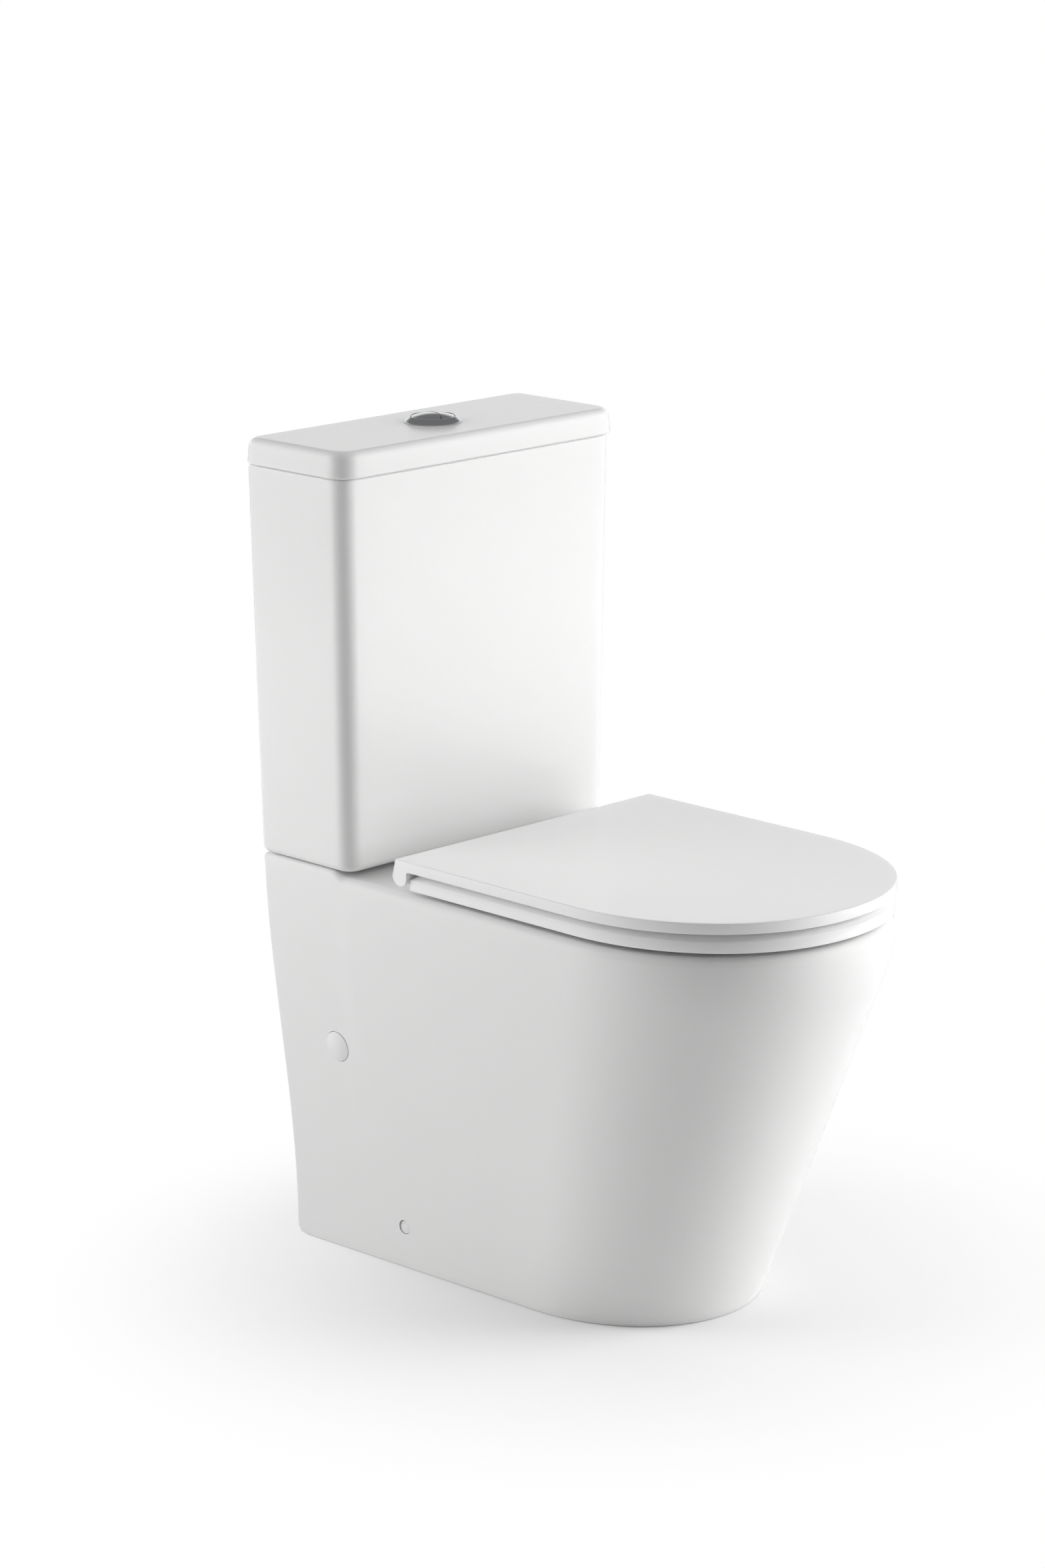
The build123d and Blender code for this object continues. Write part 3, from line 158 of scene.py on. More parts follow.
def loft(
    name: str, loops: list, wrap_rows: bool = False, angle: float = 32.0, flat_ends: bool = False
) -> bpy.types.Object:
    """Skin over closed loops of equal length; each open end is a fan to its middle or one flat face.

    Args:
        name: Object's name.
        loops: Arrays of points in metres, all with the same number of rows.
        wrap_rows: True joins the last loop to the first, as on a ring.
        angle: Edges bent more than this many degrees stay crisp.
        flat_ends: True closes each end with one flat face, as a hollow-sided outline needs.

    Returns:
        The closed mesh object.
    """
    grid = np.stack(loops)
    rows, cols = grid.shape[:2]
    points = grid.reshape(-1, 3)
    faces = grid_faces(rows, cols, wrap_rows)
    if flat_ends:
        faces += [list(range(cols)), list(range((rows - 1) * cols, rows * cols))]
    elif not wrap_rows:
        ends = np.stack([grid[0].mean(0), grid[-1].mean(0)])
        points = np.concatenate([points, ends])
        count = rows * cols
        for end, row in ((count, 0), (count + 1, rows - 1)):
            base = row * cols
            faces += [[end, base + i, base + (i + 1) % cols] for i in range(cols)]
    return new_object(name, points, faces, angle)


def revolve(name: str, profile: np.ndarray, centre: tuple, turns: int, angle: float) -> bpy.types.Object:
    """Closed profile (radius, height) in millimetres carried round an upright axis at centre (x, setback).

    Args:
        name: Object's name.
        profile: Array of (radius, height) pairs, a closed outline.
        centre: x and setback of the axis.
        turns: Steps round the axis.
        angle: Edges bent more than this many degrees stay crisp.

    Returns:
        The ring-shaped mesh object.
    """
    theta = full_turn(turns)
    x, setback = centre
    loops = [to_world(x + r * np.cos(theta), setback + r * np.sin(theta), z) for r, z in profile]
    return loft(name, loops, wrap_rows=True, angle=angle)


def arc(centre: tuple, radius: float, start: float, stop: float, steps: int) -> np.ndarray:
    """Points on a circle in a profile's plane, between two angles in degrees."""
    turn = np.radians(np.linspace(start, stop, steps))
    return np.stack([centre[0] + radius * np.cos(turn), centre[1] + radius * np.sin(turn)], axis=-1)


def combine(base: bpy.types.Object, tool: bpy.types.Object, operation: str, angle: float = 32.0) -> None:
    """Joins or cuts base with tool by a Boolean, applies it and removes the tool.

    Args:
        base: Object that keeps the result.
        tool: Closed object to add or take away.
        operation: UNION or DIFFERENCE.
        angle: Edges bent more than this many degrees stay crisp.
    """
    modifier = base.modifiers.new("combine", "BOOLEAN")
    modifier.operation = operation
    modifier.object = tool
    modifier.solver = "MANIFOLD"
    depsgraph = bpy.context.evaluated_depsgraph_get()
    result = bpy.data.meshes.new_from_object(base.evaluated_get(depsgraph))
    base.modifiers.clear()
    old = base.data
    base.data = result
    bpy.data.meshes.remove(old)
    bpy.data.objects.remove(tool)
    shade(base, angle)


def box_outline(half: float, rear: float, front: float, rear_round: float, front_round: float) -> np.ndarray:
    """Plan of a box against the wall, (x, setback) points with a round at each corner.

    The loop runs rear left, rear right, front right, front left, with evenly spaced points on the
    straight stretches and on the corner arcs.
    """
    steps = 10
    straight_steps = 26
    rear_right = arc((half - rear_round, rear + rear_round), rear_round, -90.0, 0.0, steps)
    front_right = arc((half - front_round, front - front_round), front_round, 0.0, 90.0, steps)
    front_left = arc((-half + front_round, front - front_round), front_round, 90.0, 180.0, steps)
    rear_left = arc((-half + rear_round, rear + rear_round), rear_round, 180.0, 270.0, steps)
    pieces = []
    corners = [rear_right, front_right, front_left, rear_left]
    for here, after in zip(corners, corners[1:] + corners[:1]):
        share = np.linspace(0.0, 1.0, straight_steps)[1:-1, None]
        pieces += [here, here[-1] + (after[0] - here[-1]) * share]
    return np.concatenate(pieces)


@dataclass(frozen=True)
class DPlan:
    """D-shaped plan: a straight rear, straight sides and a superelliptic nose.

    Half width at setback s past the nose's start is (half + slope (s - start)) (1 - u^n)^(1/n), with u
    the share of the nose's length, so sides run smoothly into the nose.
    """

    rear: float
    rear_half: float
    nose_start: float
    nose_half: float
    nose_length: float
    power: float = 2.1
    corner: float = 2.5
    side_stops: tuple = ()

    def outline(self, inset: float = 0.0, rear_inset: float | None = None) -> np.ndarray:
        """Closed loop of (x, setback) points, offset inwards by inset and at the rear by rear_inset."""
        rear = self.rear + (inset if rear_inset is None else rear_inset)
        slope = (self.nose_half - self.rear_half) / (self.nose_start - self.rear)
        start_half = self.nose_half - inset
        length = self.nose_length - inset
        corner = max(self.corner - 0.5 * inset, 0.4)
        turn = np.linspace(0.0, np.pi / 2.0, 49)
        along = np.sin(turn) ** (2.0 / self.power)
        across = np.maximum(np.cos(turn), 0.0) ** (2.0 / self.power)
        nose_s = self.nose_start + length * along
        nose_x = (start_half + slope * length * along) * across
        nose_x[-1] = 0.0
        stops = self.side_stops or ((0.0, 40), (1.0, 0))
        shares = []
        for (low, count), (high, _) in zip(stops, stops[1:]):
            shares.append(np.linspace(low, high, count, endpoint=False))
        share = np.concatenate(shares)[1:]
        side_s = rear + corner + (self.nose_start - rear - corner) * share
        side_x = start_half + slope * (side_s - self.nose_start)
        corner_x = start_half + slope * (rear + corner - self.nose_start) - corner
        bend = arc((corner_x, rear + corner), corner, -90.0, 0.0, 7)
        back_x = np.linspace(0.0, 1.0, 25)[:-1] * bend[0, 0]
        back = np.stack([back_x, np.full_like(back_x, rear)], axis=-1)
        right = np.concatenate(
            [back, bend, np.stack([side_x, side_s], axis=-1), np.stack([nose_x, nose_s], axis=-1)]
        )
        left = right[1:-1][::-1] * np.array([-1.0, 1.0])
        return np.concatenate([right, left])


def level_loop(outline: np.ndarray, z: float | np.ndarray) -> np.ndarray:
    """A plan outline lifted to a height."""
    return to_world(outline[:, 0], outline[:, 1], z)


def full_turn(steps: int) -> np.ndarray:
    """Angles evenly spaced round one turn."""
    return np.linspace(0.0, 2.0 * np.pi, steps, endpoint=False)


def quarter(radius: float, start: float, stop: float, steps: int) -> list:
    """Edge round as (inset, drop) pairs, for turns between two angles in degrees; 90 is the flat face."""
    turns = np.radians(np.linspace(start, stop, steps))
    return [(radius * (1.0 - math.cos(t)), radius * (1.0 - math.sin(t))) for t in turns]


def shrunk(outline: np.ndarray, middle: np.ndarray, share: float) -> np.ndarray:
    """An outline drawn in towards a middle point, to a share of its size."""
    return middle + (outline - middle) * share


def ring_towards(outline: np.ndarray, middle: float, half_length: float, half_width: float) -> np.ndarray:
    """Ellipse whose points stand on the rays from its middle to the outline's points."""
    angle = np.arctan2(outline[:, 0] / half_width, (outline[:, 1] - middle) / half_length)
    return np.stack([half_width * np.sin(angle), middle + half_length * np.cos(angle)], axis=-1)


def tube_along(name: str, route: np.ndarray, radii: np.ndarray, turns: int = 48) -> bpy.types.Object:
    """Closed tube in the middle plane: a circle of changing radius carried along (setback, z) points.

    Each circle stands square to the route's local direction, found by central differences.
    """
    step = np.gradient(route, axis=0)
    step /= np.linalg.norm(step, axis=1)[:, None]
    normal = np.stack([-step[:, 1], step[:, 0]], axis=-1)
    theta = full_turn(turns)
    loops = []
    for centre, out, radius in zip(route, normal, radii):
        x = radius * np.cos(theta)
        lift = radius * np.sin(theta)
        loops.append(to_world(x, centre[0] + out[0] * lift, centre[1] + out[1] * lift))
    return loft(name, loops, angle=40.0)


def rounded_route(corners: list, radii: list, steps: int = 14) -> np.ndarray:
    """Polyline whose inner corners are replaced by tangent arcs of the given radii."""
    corners = [np.array(c, float) for c in corners]
    points = [corners[0]]
    for before, here, after, radius in zip(corners, corners[1:], corners[2:], radii):
        into = (before - here) / np.linalg.norm(before - here)
        out = (after - here) / np.linalg.norm(after - here)
        half = math.acos(float(np.clip(into @ out, -1.0, 1.0))) / 2.0
        reach = radius / math.tan(half)
        bisector = (into + out) / np.linalg.norm(into + out)
        centre = here + bisector * radius / math.sin(half)
        start = here + into * reach - centre
        stop = here + out * reach - centre
        for share in np.linspace(0.0, 1.0, steps):
            chord = start * (1.0 - share) + stop * share
            points.append(centre + chord / np.linalg.norm(chord) * radius)
    points.append(corners[-1])
    return np.array(points)


# ---------------------------------------------------------------- shader tools


class Graph:
    """Short hand for building a node tree."""

    def __init__(self, tree: bpy.types.NodeTree) -> None:
        """Keeps the tree to build in."""
        self.tree = tree

    def add(self, kind: str, settings: dict | None = None, **inputs: object) -> bpy.types.Node:
        """Adds a node, sets its properties and sockets, and links any socket given as an input.

        Args:
            kind: Node type without the ShaderNode prefix.
            settings: Properties of the node.
            **inputs: Socket values or output sockets, with spaces in names as underscores.

        Returns:
            The node.
        """
        node = self.tree.nodes.new(f"ShaderNode{kind}")
        for key, value in (settings or {}).items():
            setattr(node, key, value)
        for key, value in inputs.items():
            index = int(key[2:]) if key.startswith("i_") else key.replace("_", " ")
            self.plug(node, index, value)
        return node

    def plug(self, node: bpy.types.Node, index: object, value: object) -> None:
        """Sets or links one input socket."""
        socket = node.inputs[index]
        if isinstance(value, bpy.types.NodeSocket):
            self.tree.links.new(value, socket)
        else:
            socket.default_value = value

    def math(self, operation: str, first: object, second: object) -> bpy.types.NodeSocket:
        """Result of a math node on two values or sockets."""
        return self.add("Math", {"operation": operation}, i_0=first, i_1=second).outputs[0]

    def spot(self) -> bpy.types.NodeSocket:
        """The object's own coordinates."""
        return self.add("TexCoord").outputs["Object"]

    def noise(self, spot: bpy.types.NodeSocket, scale: object, **inputs: object) -> bpy.types.NodeSocket:
        """Noise value at a spot."""
        return self.add("TexNoise", Vector=spot, Scale=scale, **inputs).outputs["Fac"]

    def close(self, out: bpy.types.Node, **results: bpy.types.NodeSocket) -> bpy.types.NodeTree:
        """Links results to the group's outputs and returns the group."""
        for label, result in results.items():
            self.tree.links.new(result, out.inputs[label])
        return self.tree


def new_group(name: str, inputs: list, outputs: list) -> tuple:
    """Makes a shader node group with named sockets.

    Args:
        name: Group's name.
        inputs: (name, type, default) of each input.
        outputs: (name, type) of each output.

    Returns:
        The group's Graph, the sockets of its inputs and its output node.
    """
    group = bpy.data.node_groups.new(name, "ShaderNodeTree")
    for label, kind, default in inputs:
        socket = group.interface.new_socket(name=label, in_out="INPUT", socket_type=f"NodeSocket{kind}")
        socket.default_value = default
    for label, kind in outputs:
        group.interface.new_socket(name=label, in_out="OUTPUT", socket_type=f"NodeSocket{kind}")
    graph = Graph(group)
    return graph, group.nodes.new("NodeGroupInput").outputs, group.nodes.new("NodeGroupOutput")


class SharedEffects:
    """Node groups that several finishes use, each built once."""

    def __init__(self) -> None:
        """Builds the groups."""
        self.tone = self.tone_drift()
        self.ripple = self.surface_ripple()
        self.speck = self.fine_specks()
        self.brush = self.brushed_lines()
        self.thread = self.thread_rings()

    @staticmethod
    def tone_drift() -> bpy.types.NodeTree:
        """Slow change of colour and gloss over the surface, as firing or moulding leaves it."""
        graph, given, out = new_group(
            "tone_drift",
            [
                ("Colour", "Color", (0.8, 0.8, 0.8, 1.0)),
                ("Scale", "Float", 6.0),
                ("Amount", "Float", 0.02),
                ("Gloss", "Float", 0.1),
                ("Gloss Drift", "Float", 0.02),
            ],
            [("Colour", "Color"), ("Roughness", "Float")],
        )
        spot = graph.spot()
        swing = graph.math("SUBTRACT", graph.noise(spot, given["Scale"], Detail=4.0, Roughness=0.55), 0.5)
        value = graph.math("ADD", graph.math("MULTIPLY", swing, given["Amount"]), 1.0)
        tinted = graph.add("HueSaturation", Value=value, Color=given["Colour"])
        drift = graph.math("MULTIPLY", graph.noise(spot, 38.0, Detail=3.0), given["Gloss Drift"])
        rough = graph.math("ADD", drift, given["Gloss"])
        return graph.close(out, Colour=tinted.outputs["Color"], Roughness=rough)

    @staticmethod
    def surface_ripple() -> bpy.types.NodeTree:
        """Two sizes of low ripple: the long waves of a cast body and the fine skin of the glaze."""
        graph, given, out = new_group(
            "surface_ripple",
            [
                ("Long Scale", "Float", 9.0),
                ("Fine Scale", "Float", 160.0),
                ("Fine Share", "Float", 0.15),
                ("Depth", "Float", 0.0006),
                ("Strength", "Float", 0.2),
            ],
            [("Normal", "Vector")],
        )
        spot = graph.spot()
        long_waves = graph.noise(spot, given["Long Scale"], Detail=1.0)
        fine_skin = graph.noise(spot, given["Fine Scale"], Detail=2.0)
        height = graph.math("ADD", long_waves, graph.math("MULTIPLY", fine_skin, given["Fine Share"]))
        bump = graph.add("Bump", Strength=given["Strength"], Distance=given["Depth"], Height=height)
        return graph.close(out, Normal=bump.outputs["Normal"])

    @staticmethod
    def fine_specks() -> bpy.types.NodeTree:
        """Rare pin-point specks: a mask of small dots round the middles of scattered cells."""
        graph, given, out = new_group(
            "fine_specks",
            [("Scale", "Float", 30.0), ("Size", "Float", 0.03), ("Rarity", "Float", 0.9)],
            [("Mask", "Float")],
        )
        cells = graph.add("TexVoronoi", Vector=graph.spot(), Scale=given["Scale"])
        near = graph.math("LESS_THAN", cells.outputs["Distance"], given["Size"])
        split = graph.add("SeparateColor", Color=cells.outputs["Color"])
        rare = graph.math("GREATER_THAN", split.outputs[0], given["Rarity"])
        return graph.close(out, Mask=graph.math("MULTIPLY", near, rare))

    @staticmethod
    def brushed_lines() -> bpy.types.NodeTree:
        """Fine drawn lines: noise stretched along one direction, as a normal."""
        graph, given, out = new_group(
            "brushed_lines",
            [("Stretch", "Vector", (900.0, 900.0, 30.0)), ("Strength", "Float", 0.1)],
            [("Normal", "Vector")],
        )
        lines = graph.add("VectorMath", {"operation": "MULTIPLY"}, i_0=graph.spot(), i_1=given["Stretch"])
        height = graph.noise(lines.outputs[0], 1.0, Detail=3.0)
        bump = graph.add("Bump", Strength=given["Strength"], Distance=0.0002, Height=height)
        return graph.close(out, Normal=bump.outputs["Normal"])

    @staticmethod
    def thread_rings() -> bpy.types.NodeTree:
        """Screw thread below a height: a saw wave along Z as a normal."""
        graph, given, out = new_group(
            "thread_rings",
            [("Pitch Count", "Float", 500.0), ("Top", "Float", 0.42), ("Strength", "Float", 0.8)],
            [("Normal", "Vector")],
        )
        level = graph.add("SeparateXYZ", Vector=graph.spot()).outputs["Z"]
        wave = graph.math("PINGPONG", graph.math("MULTIPLY", level, given["Pitch Count"]), 0.5)
        height = graph.math("MULTIPLY", wave, graph.math("LESS_THAN", level, given["Top"]))
        bump = graph.add("Bump", Strength=given["Strength"], Distance=0.0015, Height=height)
        return graph.close(out, Normal=bump.outputs["Normal"])


@dataclass(frozen=True)
class Finish:
    """One surface finish, from which its material is made."""

    name: str
    colour: tuple
    gloss: float
    gloss_drift: float = 0.02
    tone_scale: float = 6.0
    tone_amount: float = 0.02
    metallic: float = 0.0
    ripple: tuple = (9.0, 160.0, 0.15, 0.0006, 0.2)
    specks: tuple = ()
    brushed: tuple = ()
    thread: tuple = ()

    def build(self, effects: SharedEffects) -> bpy.types.Material:
        """Makes the material: tone and gloss drift, then ripple, brushing or thread as its normal.

        Args:
            effects: Shared node groups.

        Returns:
            The finished material.
        """
        material = bpy.data.materials.new(self.name)
        material.use_nodes = True
        graph = Graph(material.node_tree)
        surface = next(n for n in material.node_tree.nodes if n.type == "BSDF_PRINCIPLED")
        tone = graph.add(
            "Group",
            {"node_tree": effects.tone},
            Colour=(*self.colour, 1.0),
            Scale=self.tone_scale,
            Amount=self.tone_amount,
            Gloss=self.gloss,
            Gloss_Drift=self.gloss_drift,
        )
        colour = tone.outputs["Colour"]
        if self.specks:
            scale, size, rarity, dark = self.specks
            speck = graph.add("Group", {"node_tree": effects.speck}, Scale=scale, Size=size, Rarity=rarity)
            spotted = graph.add("Mix", {"data_type": "RGBA"})
            graph.plug(spotted, 0, speck.outputs["Mask"])
            graph.plug(spotted, 6, colour)
            graph.plug(spotted, 7, (*dark, 1.0))
            colour = spotted.outputs[2]
        graph.plug(surface, "Base Color", colour)
        graph.plug(surface, "Roughness", tone.outputs["Roughness"])
        graph.plug(surface, "Metallic", self.metallic)
        graph.plug(surface, "Normal", self.normal(graph, effects))
        return material

    def normal(self, graph: Graph, effects: SharedEffects) -> bpy.types.NodeSocket:
        """Normal output of the finish's surface relief."""
        if self.thread:
            pitch, top, strength = self.thread
            rings = graph.add(
                "Group", {"node_tree": effects.thread}, Pitch_Count=pitch, Top=top, Strength=strength
            )
            return rings.outputs["Normal"]
        if self.brushed:
            stretch, strength = self.brushed
            lines = graph.add("Group", {"node_tree": effects.brush}, Stretch=stretch, Strength=strength)
            return lines.outputs["Normal"]
        long_scale, fine_scale, fine_share, depth, strength = self.ripple
        ripple = graph.add(
            "Group",
            {"node_tree": effects.ripple},
            Long_Scale=long_scale,
            Fine_Scale=fine_scale,
            Fine_Share=fine_share,
            Depth=depth,
            Strength=strength,
        )
        return ripple.outputs["Normal"]


MOULDED_RIPPLE = (40.0, 1400.0, 0.8, 0.0003, 0.25)
FINISHES = {
    "china": Finish(
        "vitreous_china",
        (0.80, 0.80, 0.797),
        gloss=0.2,
        gloss_drift=0.04,
        tone_scale=5.0,
        tone_amount=0.012,
        ripple=(14.0, 220.0, 0.12, 0.0005, 0.10),
        specks=(16.0, 0.012, 0.93, (0.35, 0.33, 0.3)),
    ),
    "seat_resin": Finish(
        "seat_resin",
        (0.86, 0.86, 0.86),
        gloss=0.08,
        gloss_drift=0.02,
        tone_scale=4.0,
        tone_amount=0.006,
        ripple=(7.0, 400.0, 0.05, 0.0003, 0.04),
    ),
    "button_chrome": Finish(
        "polished_chrome",
        (0.62, 0.63, 0.64),
        gloss=0.03,
        gloss_drift=0.03,
        tone_amount=0.01,
        metallic=1.0,
        ripple=(60.0, 900.0, 0.2, 0.0001, 0.05),
    ),
    "cap_plastic": Finish(
        "cap_plastic", (0.80, 0.80, 0.797), gloss=0.2, ripple=(30.0, 900.0, 0.6, 0.0002, 0.12)
    ),
    "valve_plastic": Finish(
        "valve_plastic", (0.62, 0.64, 0.66), gloss=0.38, gloss_drift=0.12, ripple=MOULDED_RIPPLE
    ),
    "valve_accent": Finish(
        "valve_blue", (0.05, 0.16, 0.42), gloss=0.35, gloss_drift=0.1, ripple=MOULDED_RIPPLE
    ),
    "float_foam": Finish(
        "float_foam",
        (0.045, 0.046, 0.05),
        gloss=0.6,
        gloss_drift=0.15,
        ripple=(60.0, 2200.0, 1.2, 0.0006, 0.5),
    ),
    "rubber_black": Finish(
        "moulded_rubber",
        (0.02, 0.02, 0.021),
        gloss=0.55,
        gloss_drift=0.2,
        ripple=(50.0, 1800.0, 1.0, 0.0005, 0.4),
    ),
    "rubber_clear": Finish(
        "clear_elastomer",
        (0.62, 0.62, 0.6),
        gloss=0.3,
        gloss_drift=0.1,
        ripple=(50.0, 1500.0, 0.8, 0.0003, 0.2),
    ),
    "steel_bolt": Finish(
        "stainless_steel",
        (0.58, 0.57, 0.55),
        gloss=0.22,
        gloss_drift=0.15,
        metallic=1.0,
        thread=(800.0, 0.42, 0.5),
    ),
    "brass_part": Finish(
        "turned_brass",
        (0.68, 0.48, 0.2),
        gloss=0.25,
        gloss_drift=0.15,
        metallic=1.0,
        brushed=((60.0, 60.0, 2500.0), 0.2),
    ),
    "zinc_bracket": Finish(
        "zinc_plate",
        (0.6, 0.61, 0.62),
        gloss=0.32,
        gloss_drift=0.2,
        metallic=1.0,
        brushed=((900.0, 900.0, 60.0), 0.2),
    ),
}


# ---------------------------------------------------------------- sub-assemblies


@dataclass
class Pan:
    """Skirted china pan: outer body, bowl, trap, outlet and flush inlet."""

    rim_z: float = 407.8
    deck_z: float = 412.5
    step: tuple = (101.0, 119.0)
    wall: float = 12.0
    slab: float = 20.0
    foot_halves: tuple = (138.0, 126.3)
    rim_halves: tuple = (172.0, 175.0)
    nose_starts: tuple = (338.5, 437.0)
    nose_lengths: tuple = (142.0, 194.0)
    flare_from: float = 20.0
    flare_height: float = 400.0
    lean_height: float = 373.0
    lean_soft: float = 0.07
    rear_foot_round: float = 11.0
    rim_round: float = 9.0
    deck_round: float = 5.0
    foot_round: float = 2.5
    mouth_round: float = 6.0
    bowl_z: tuple = (178.0, 200.0, 240.0, 290.0, 350.0, 406.0)
    bowl_middle: tuple = (346.0, 352.0, 372.0, 398.0, 420.0, 427.0)
    bowl_length: tuple = (34.0, 54.0, 86.0, 128.0, 163.0, 173.0)
    bowl_width: tuple = (32.0, 46.0, 66.0, 92.0, 113.0, 120.0)
    bowl_wall: float = 10.0
    trap: tuple = ((352.0, 205.0), (318.0, 143.0), (235.0, 232.0), (165.0, 185.0), (70.0, 185.0))
    trap_bends: tuple = (42.0, 42.0, 50.0)
    trap_radii: tuple = (29.0, 38.0)
    outlet: tuple = (12.0, 82.0, 185.0, 51.0, 42.0)
    access: tuple = (86.5, 223.0, 16.0)
    rim_middle: float = 427.0
    inner_lift: float = 1.5
    rear_extra: float = 4.0
    roof_drop: float = 6.5
    roof_inset: float = 6.0
    inlet_setback: float = 73.0
    flush_well: tuple = (60.0, 370.0, 400.0)
    flush_throat: tuple = (45.0, 317.0, 380.0)
    channel: tuple = (275.0, 345.0, 28.0)
    socket: tuple = (42.0, 58.0)
    side_reach: tuple = (100.0, 185.0)
    side_fix: tuple = (160.3, 45.0, 7.6)

    def lean(self, z: float) -> float:
        """Share of the nose's lean at a height: straight, then a parabola that eases to upright."""
        t = z / self.lean_height
        over = min(max(t - (1.0 - self.lean_soft), 0.0), 2.0 * self.lean_soft)
        return min(t, 1.0 - self.lean_soft) + over - over * over / (4.0 * self.lean_soft)

    def plan(self, z: float) -> DPlan:
        """Outer plan at a height."""
        flare = float(smooth_step(np.array((z - self.flare_from) / self.flare_height)))
        out = self.lean(z)

        def between(pair: tuple) -> float:
            return pair[0] + (pair[1] - pair[0]) * out

        rear_half = self.foot_halves[0] + (self.rim_halves[0] - self.foot_halves[0]) * flare
        nose_half = between((self.foot_halves[1], self.rim_halves[1]))
        stops = ((0.0, 16), (0.19, 22), (0.30, 40), (1.0, 0))
        return DPlan(
            0.0, rear_half, between(self.nose_starts), nose_half, between(self.nose_lengths), side_stops=stops
        )

    def top_at(self, setback: np.ndarray) -> np.ndarray:
        """Height of the deck and rim: the deck drops to the rim in a soft step."""
        share = smooth_step((setback - self.step[0]) / (self.step[1] - self.step[0]))
        return self.deck_z + (self.rim_z - self.deck_z) * share

    def edge_round(self, setback: np.ndarray) -> np.ndarray:
        """Radius of the top edge: tight along the deck, fuller along the rim."""
        share = smooth_step((setback - self.step[0]) / (self.step[1] - self.step[0]))
        return self.deck_round + (self.rim_round - self.deck_round) * share

    def shell_rows(self) -> list:
        """Loops of the body: pole on the rim's middle, rim, outer wall, foot, inner wall, roof pole."""
        rows = []
        centre = np.array([0.0, self.rim_middle])
        outer = self.plan(self.rim_z).outline(0.0)
        inward = self.plan(self.rim_z).outline(1.0) - outer
        radius = self.edge_round(outer[:, 1])
        for share in np.linspace(0.02, 1.0, 60):
            outline = shrunk(outer + inward * radius[:, None], centre, share)
            rows.append(level_loop(outline, self.top_at(outline[:, 1])))
        for inset, drop in quarter(1.0, 81.0, 0.0, 12):
            outline = outer + inward * (radius * inset)[:, None]
            rows.append(level_loop(outline, self.top_at(outline[:, 1]) - radius * drop))
        for share in np.linspace(1.0, 0.0, 64)[1:]:
            z = self.foot_round + (self.rim_z - self.rim_round - self.foot_round) * share
            over = max(self.rear_foot_round - z, 0.0)
            rear = self.rear_foot_round - math.sqrt(max(self.rear_foot_round**2 - over**2, 0.0))
            outline = self.plan(z).outline(0.0, rear)
            top = self.top_at(outline[:, 1]) - self.edge_round(outline[:, 1])
            stretch = self.foot_round + (top - self.foot_round) * share
            rows.append(level_loop(outline, stretch))
        for inset, drop in quarter(self.foot_round, 30.0, 90.0, 3):
            outline = self.plan(0.0).outline(inset, self.rear_foot_round + inset)
            rows.append(level_loop(outline, drop))
        outline = self.plan(0.0).outline(self.wall - self.inner_lift, self.wall + self.rear_extra)
        rows.append(level_loop(outline, 0.0))
        for share in np.linspace(0.0, 1.0, 24):
            z = self.inner_lift + (self.rim_z - self.slab - self.roof_drop - self.inner_lift) * share
            outline = self.plan(z).outline(self.wall, self.wall + self.rear_extra)
            roof = self.top_at(outline[:, 1]) - self.slab - self.roof_drop
            rows.append(level_loop(outline, self.inner_lift + (roof - self.inner_lift) * share))
        last = self.plan(self.rim_z).outline(self.wall + self.roof_inset)
        for share in np.linspace(1.0, 0.05, 20):
            outline = shrunk(last, centre, share)
            rows.append(level_loop(outline, self.top_at(outline[:, 1]) - self.slab))
        return rows

    def bowl_rows(self, grow: float, top: float, flare: float) -> list:
        """Elliptical loops of the bowl from its foot to a top height, grown and flared at the mouth.

        Middle, half length and half width are smooth quartic curves of height through the bowl's
        chosen rings; the mouth's edge is a quarter round that widens the last loops.
        """
        heights = np.array(self.bowl_z)
        measures = (self.bowl_middle, self.bowl_length, self.bowl_width)
        curves = [np.polyfit(heights, np.array(measure), 4) for measure in measures]
        angle = full_turn(160)
        rows = []
        for z in np.linspace(heights[0], top, 64):
            middle, length, width = (float(np.polyval(c, z)) for c in curves)
            rows.append((z, middle, length + grow, width + grow))
        if flare:
            start = self.rim_z - flare
            rows = [r for r in rows if r[0] < start - 0.5]
            middle, length, width = (float(np.polyval(c, start)) for c in curves)
            for turn in np.radians(np.linspace(0.0, 80.0, 8)):
                out = flare * (1.0 - math.cos(turn))
                rows.append((start + flare * math.sin(turn), middle, length + out, width + out))
            rows.append((self.rim_z + 1.0, middle, length + flare, width + flare))
        z, middle, length, width = rows[0]
        base = []
        for share in np.linspace(0.0, 1.0, 10)[1:]:
            size = math.sqrt(1 - share * share * 0.9)
            base.append((z - 14.0 * share, middle, length * size, width * size))
        rows = base[::-1] + rows
        return [
            to_world(w * np.sin(angle), m + le * np.cos(angle), h - (grow if h < self.rim_z - 20 else 0.0))
            for h, m, le, w in rows
        ]

    def side_cutter(self, place: tuple) -> list:
        """Bars along X through both side walls at (setback, z, radius)."""
        setback, z, radius = place
        theta = full_turn(72)
        bars = []
        for side in (-1.0, 1.0):
            along, up = setback + radius * np.cos(theta), z + radius * np.sin(theta)
            loops = [to_world(np.full_like(theta, side * reach), along, up) for reach in self.side_reach]
            bars.append(loft("cut", loops))
        return bars

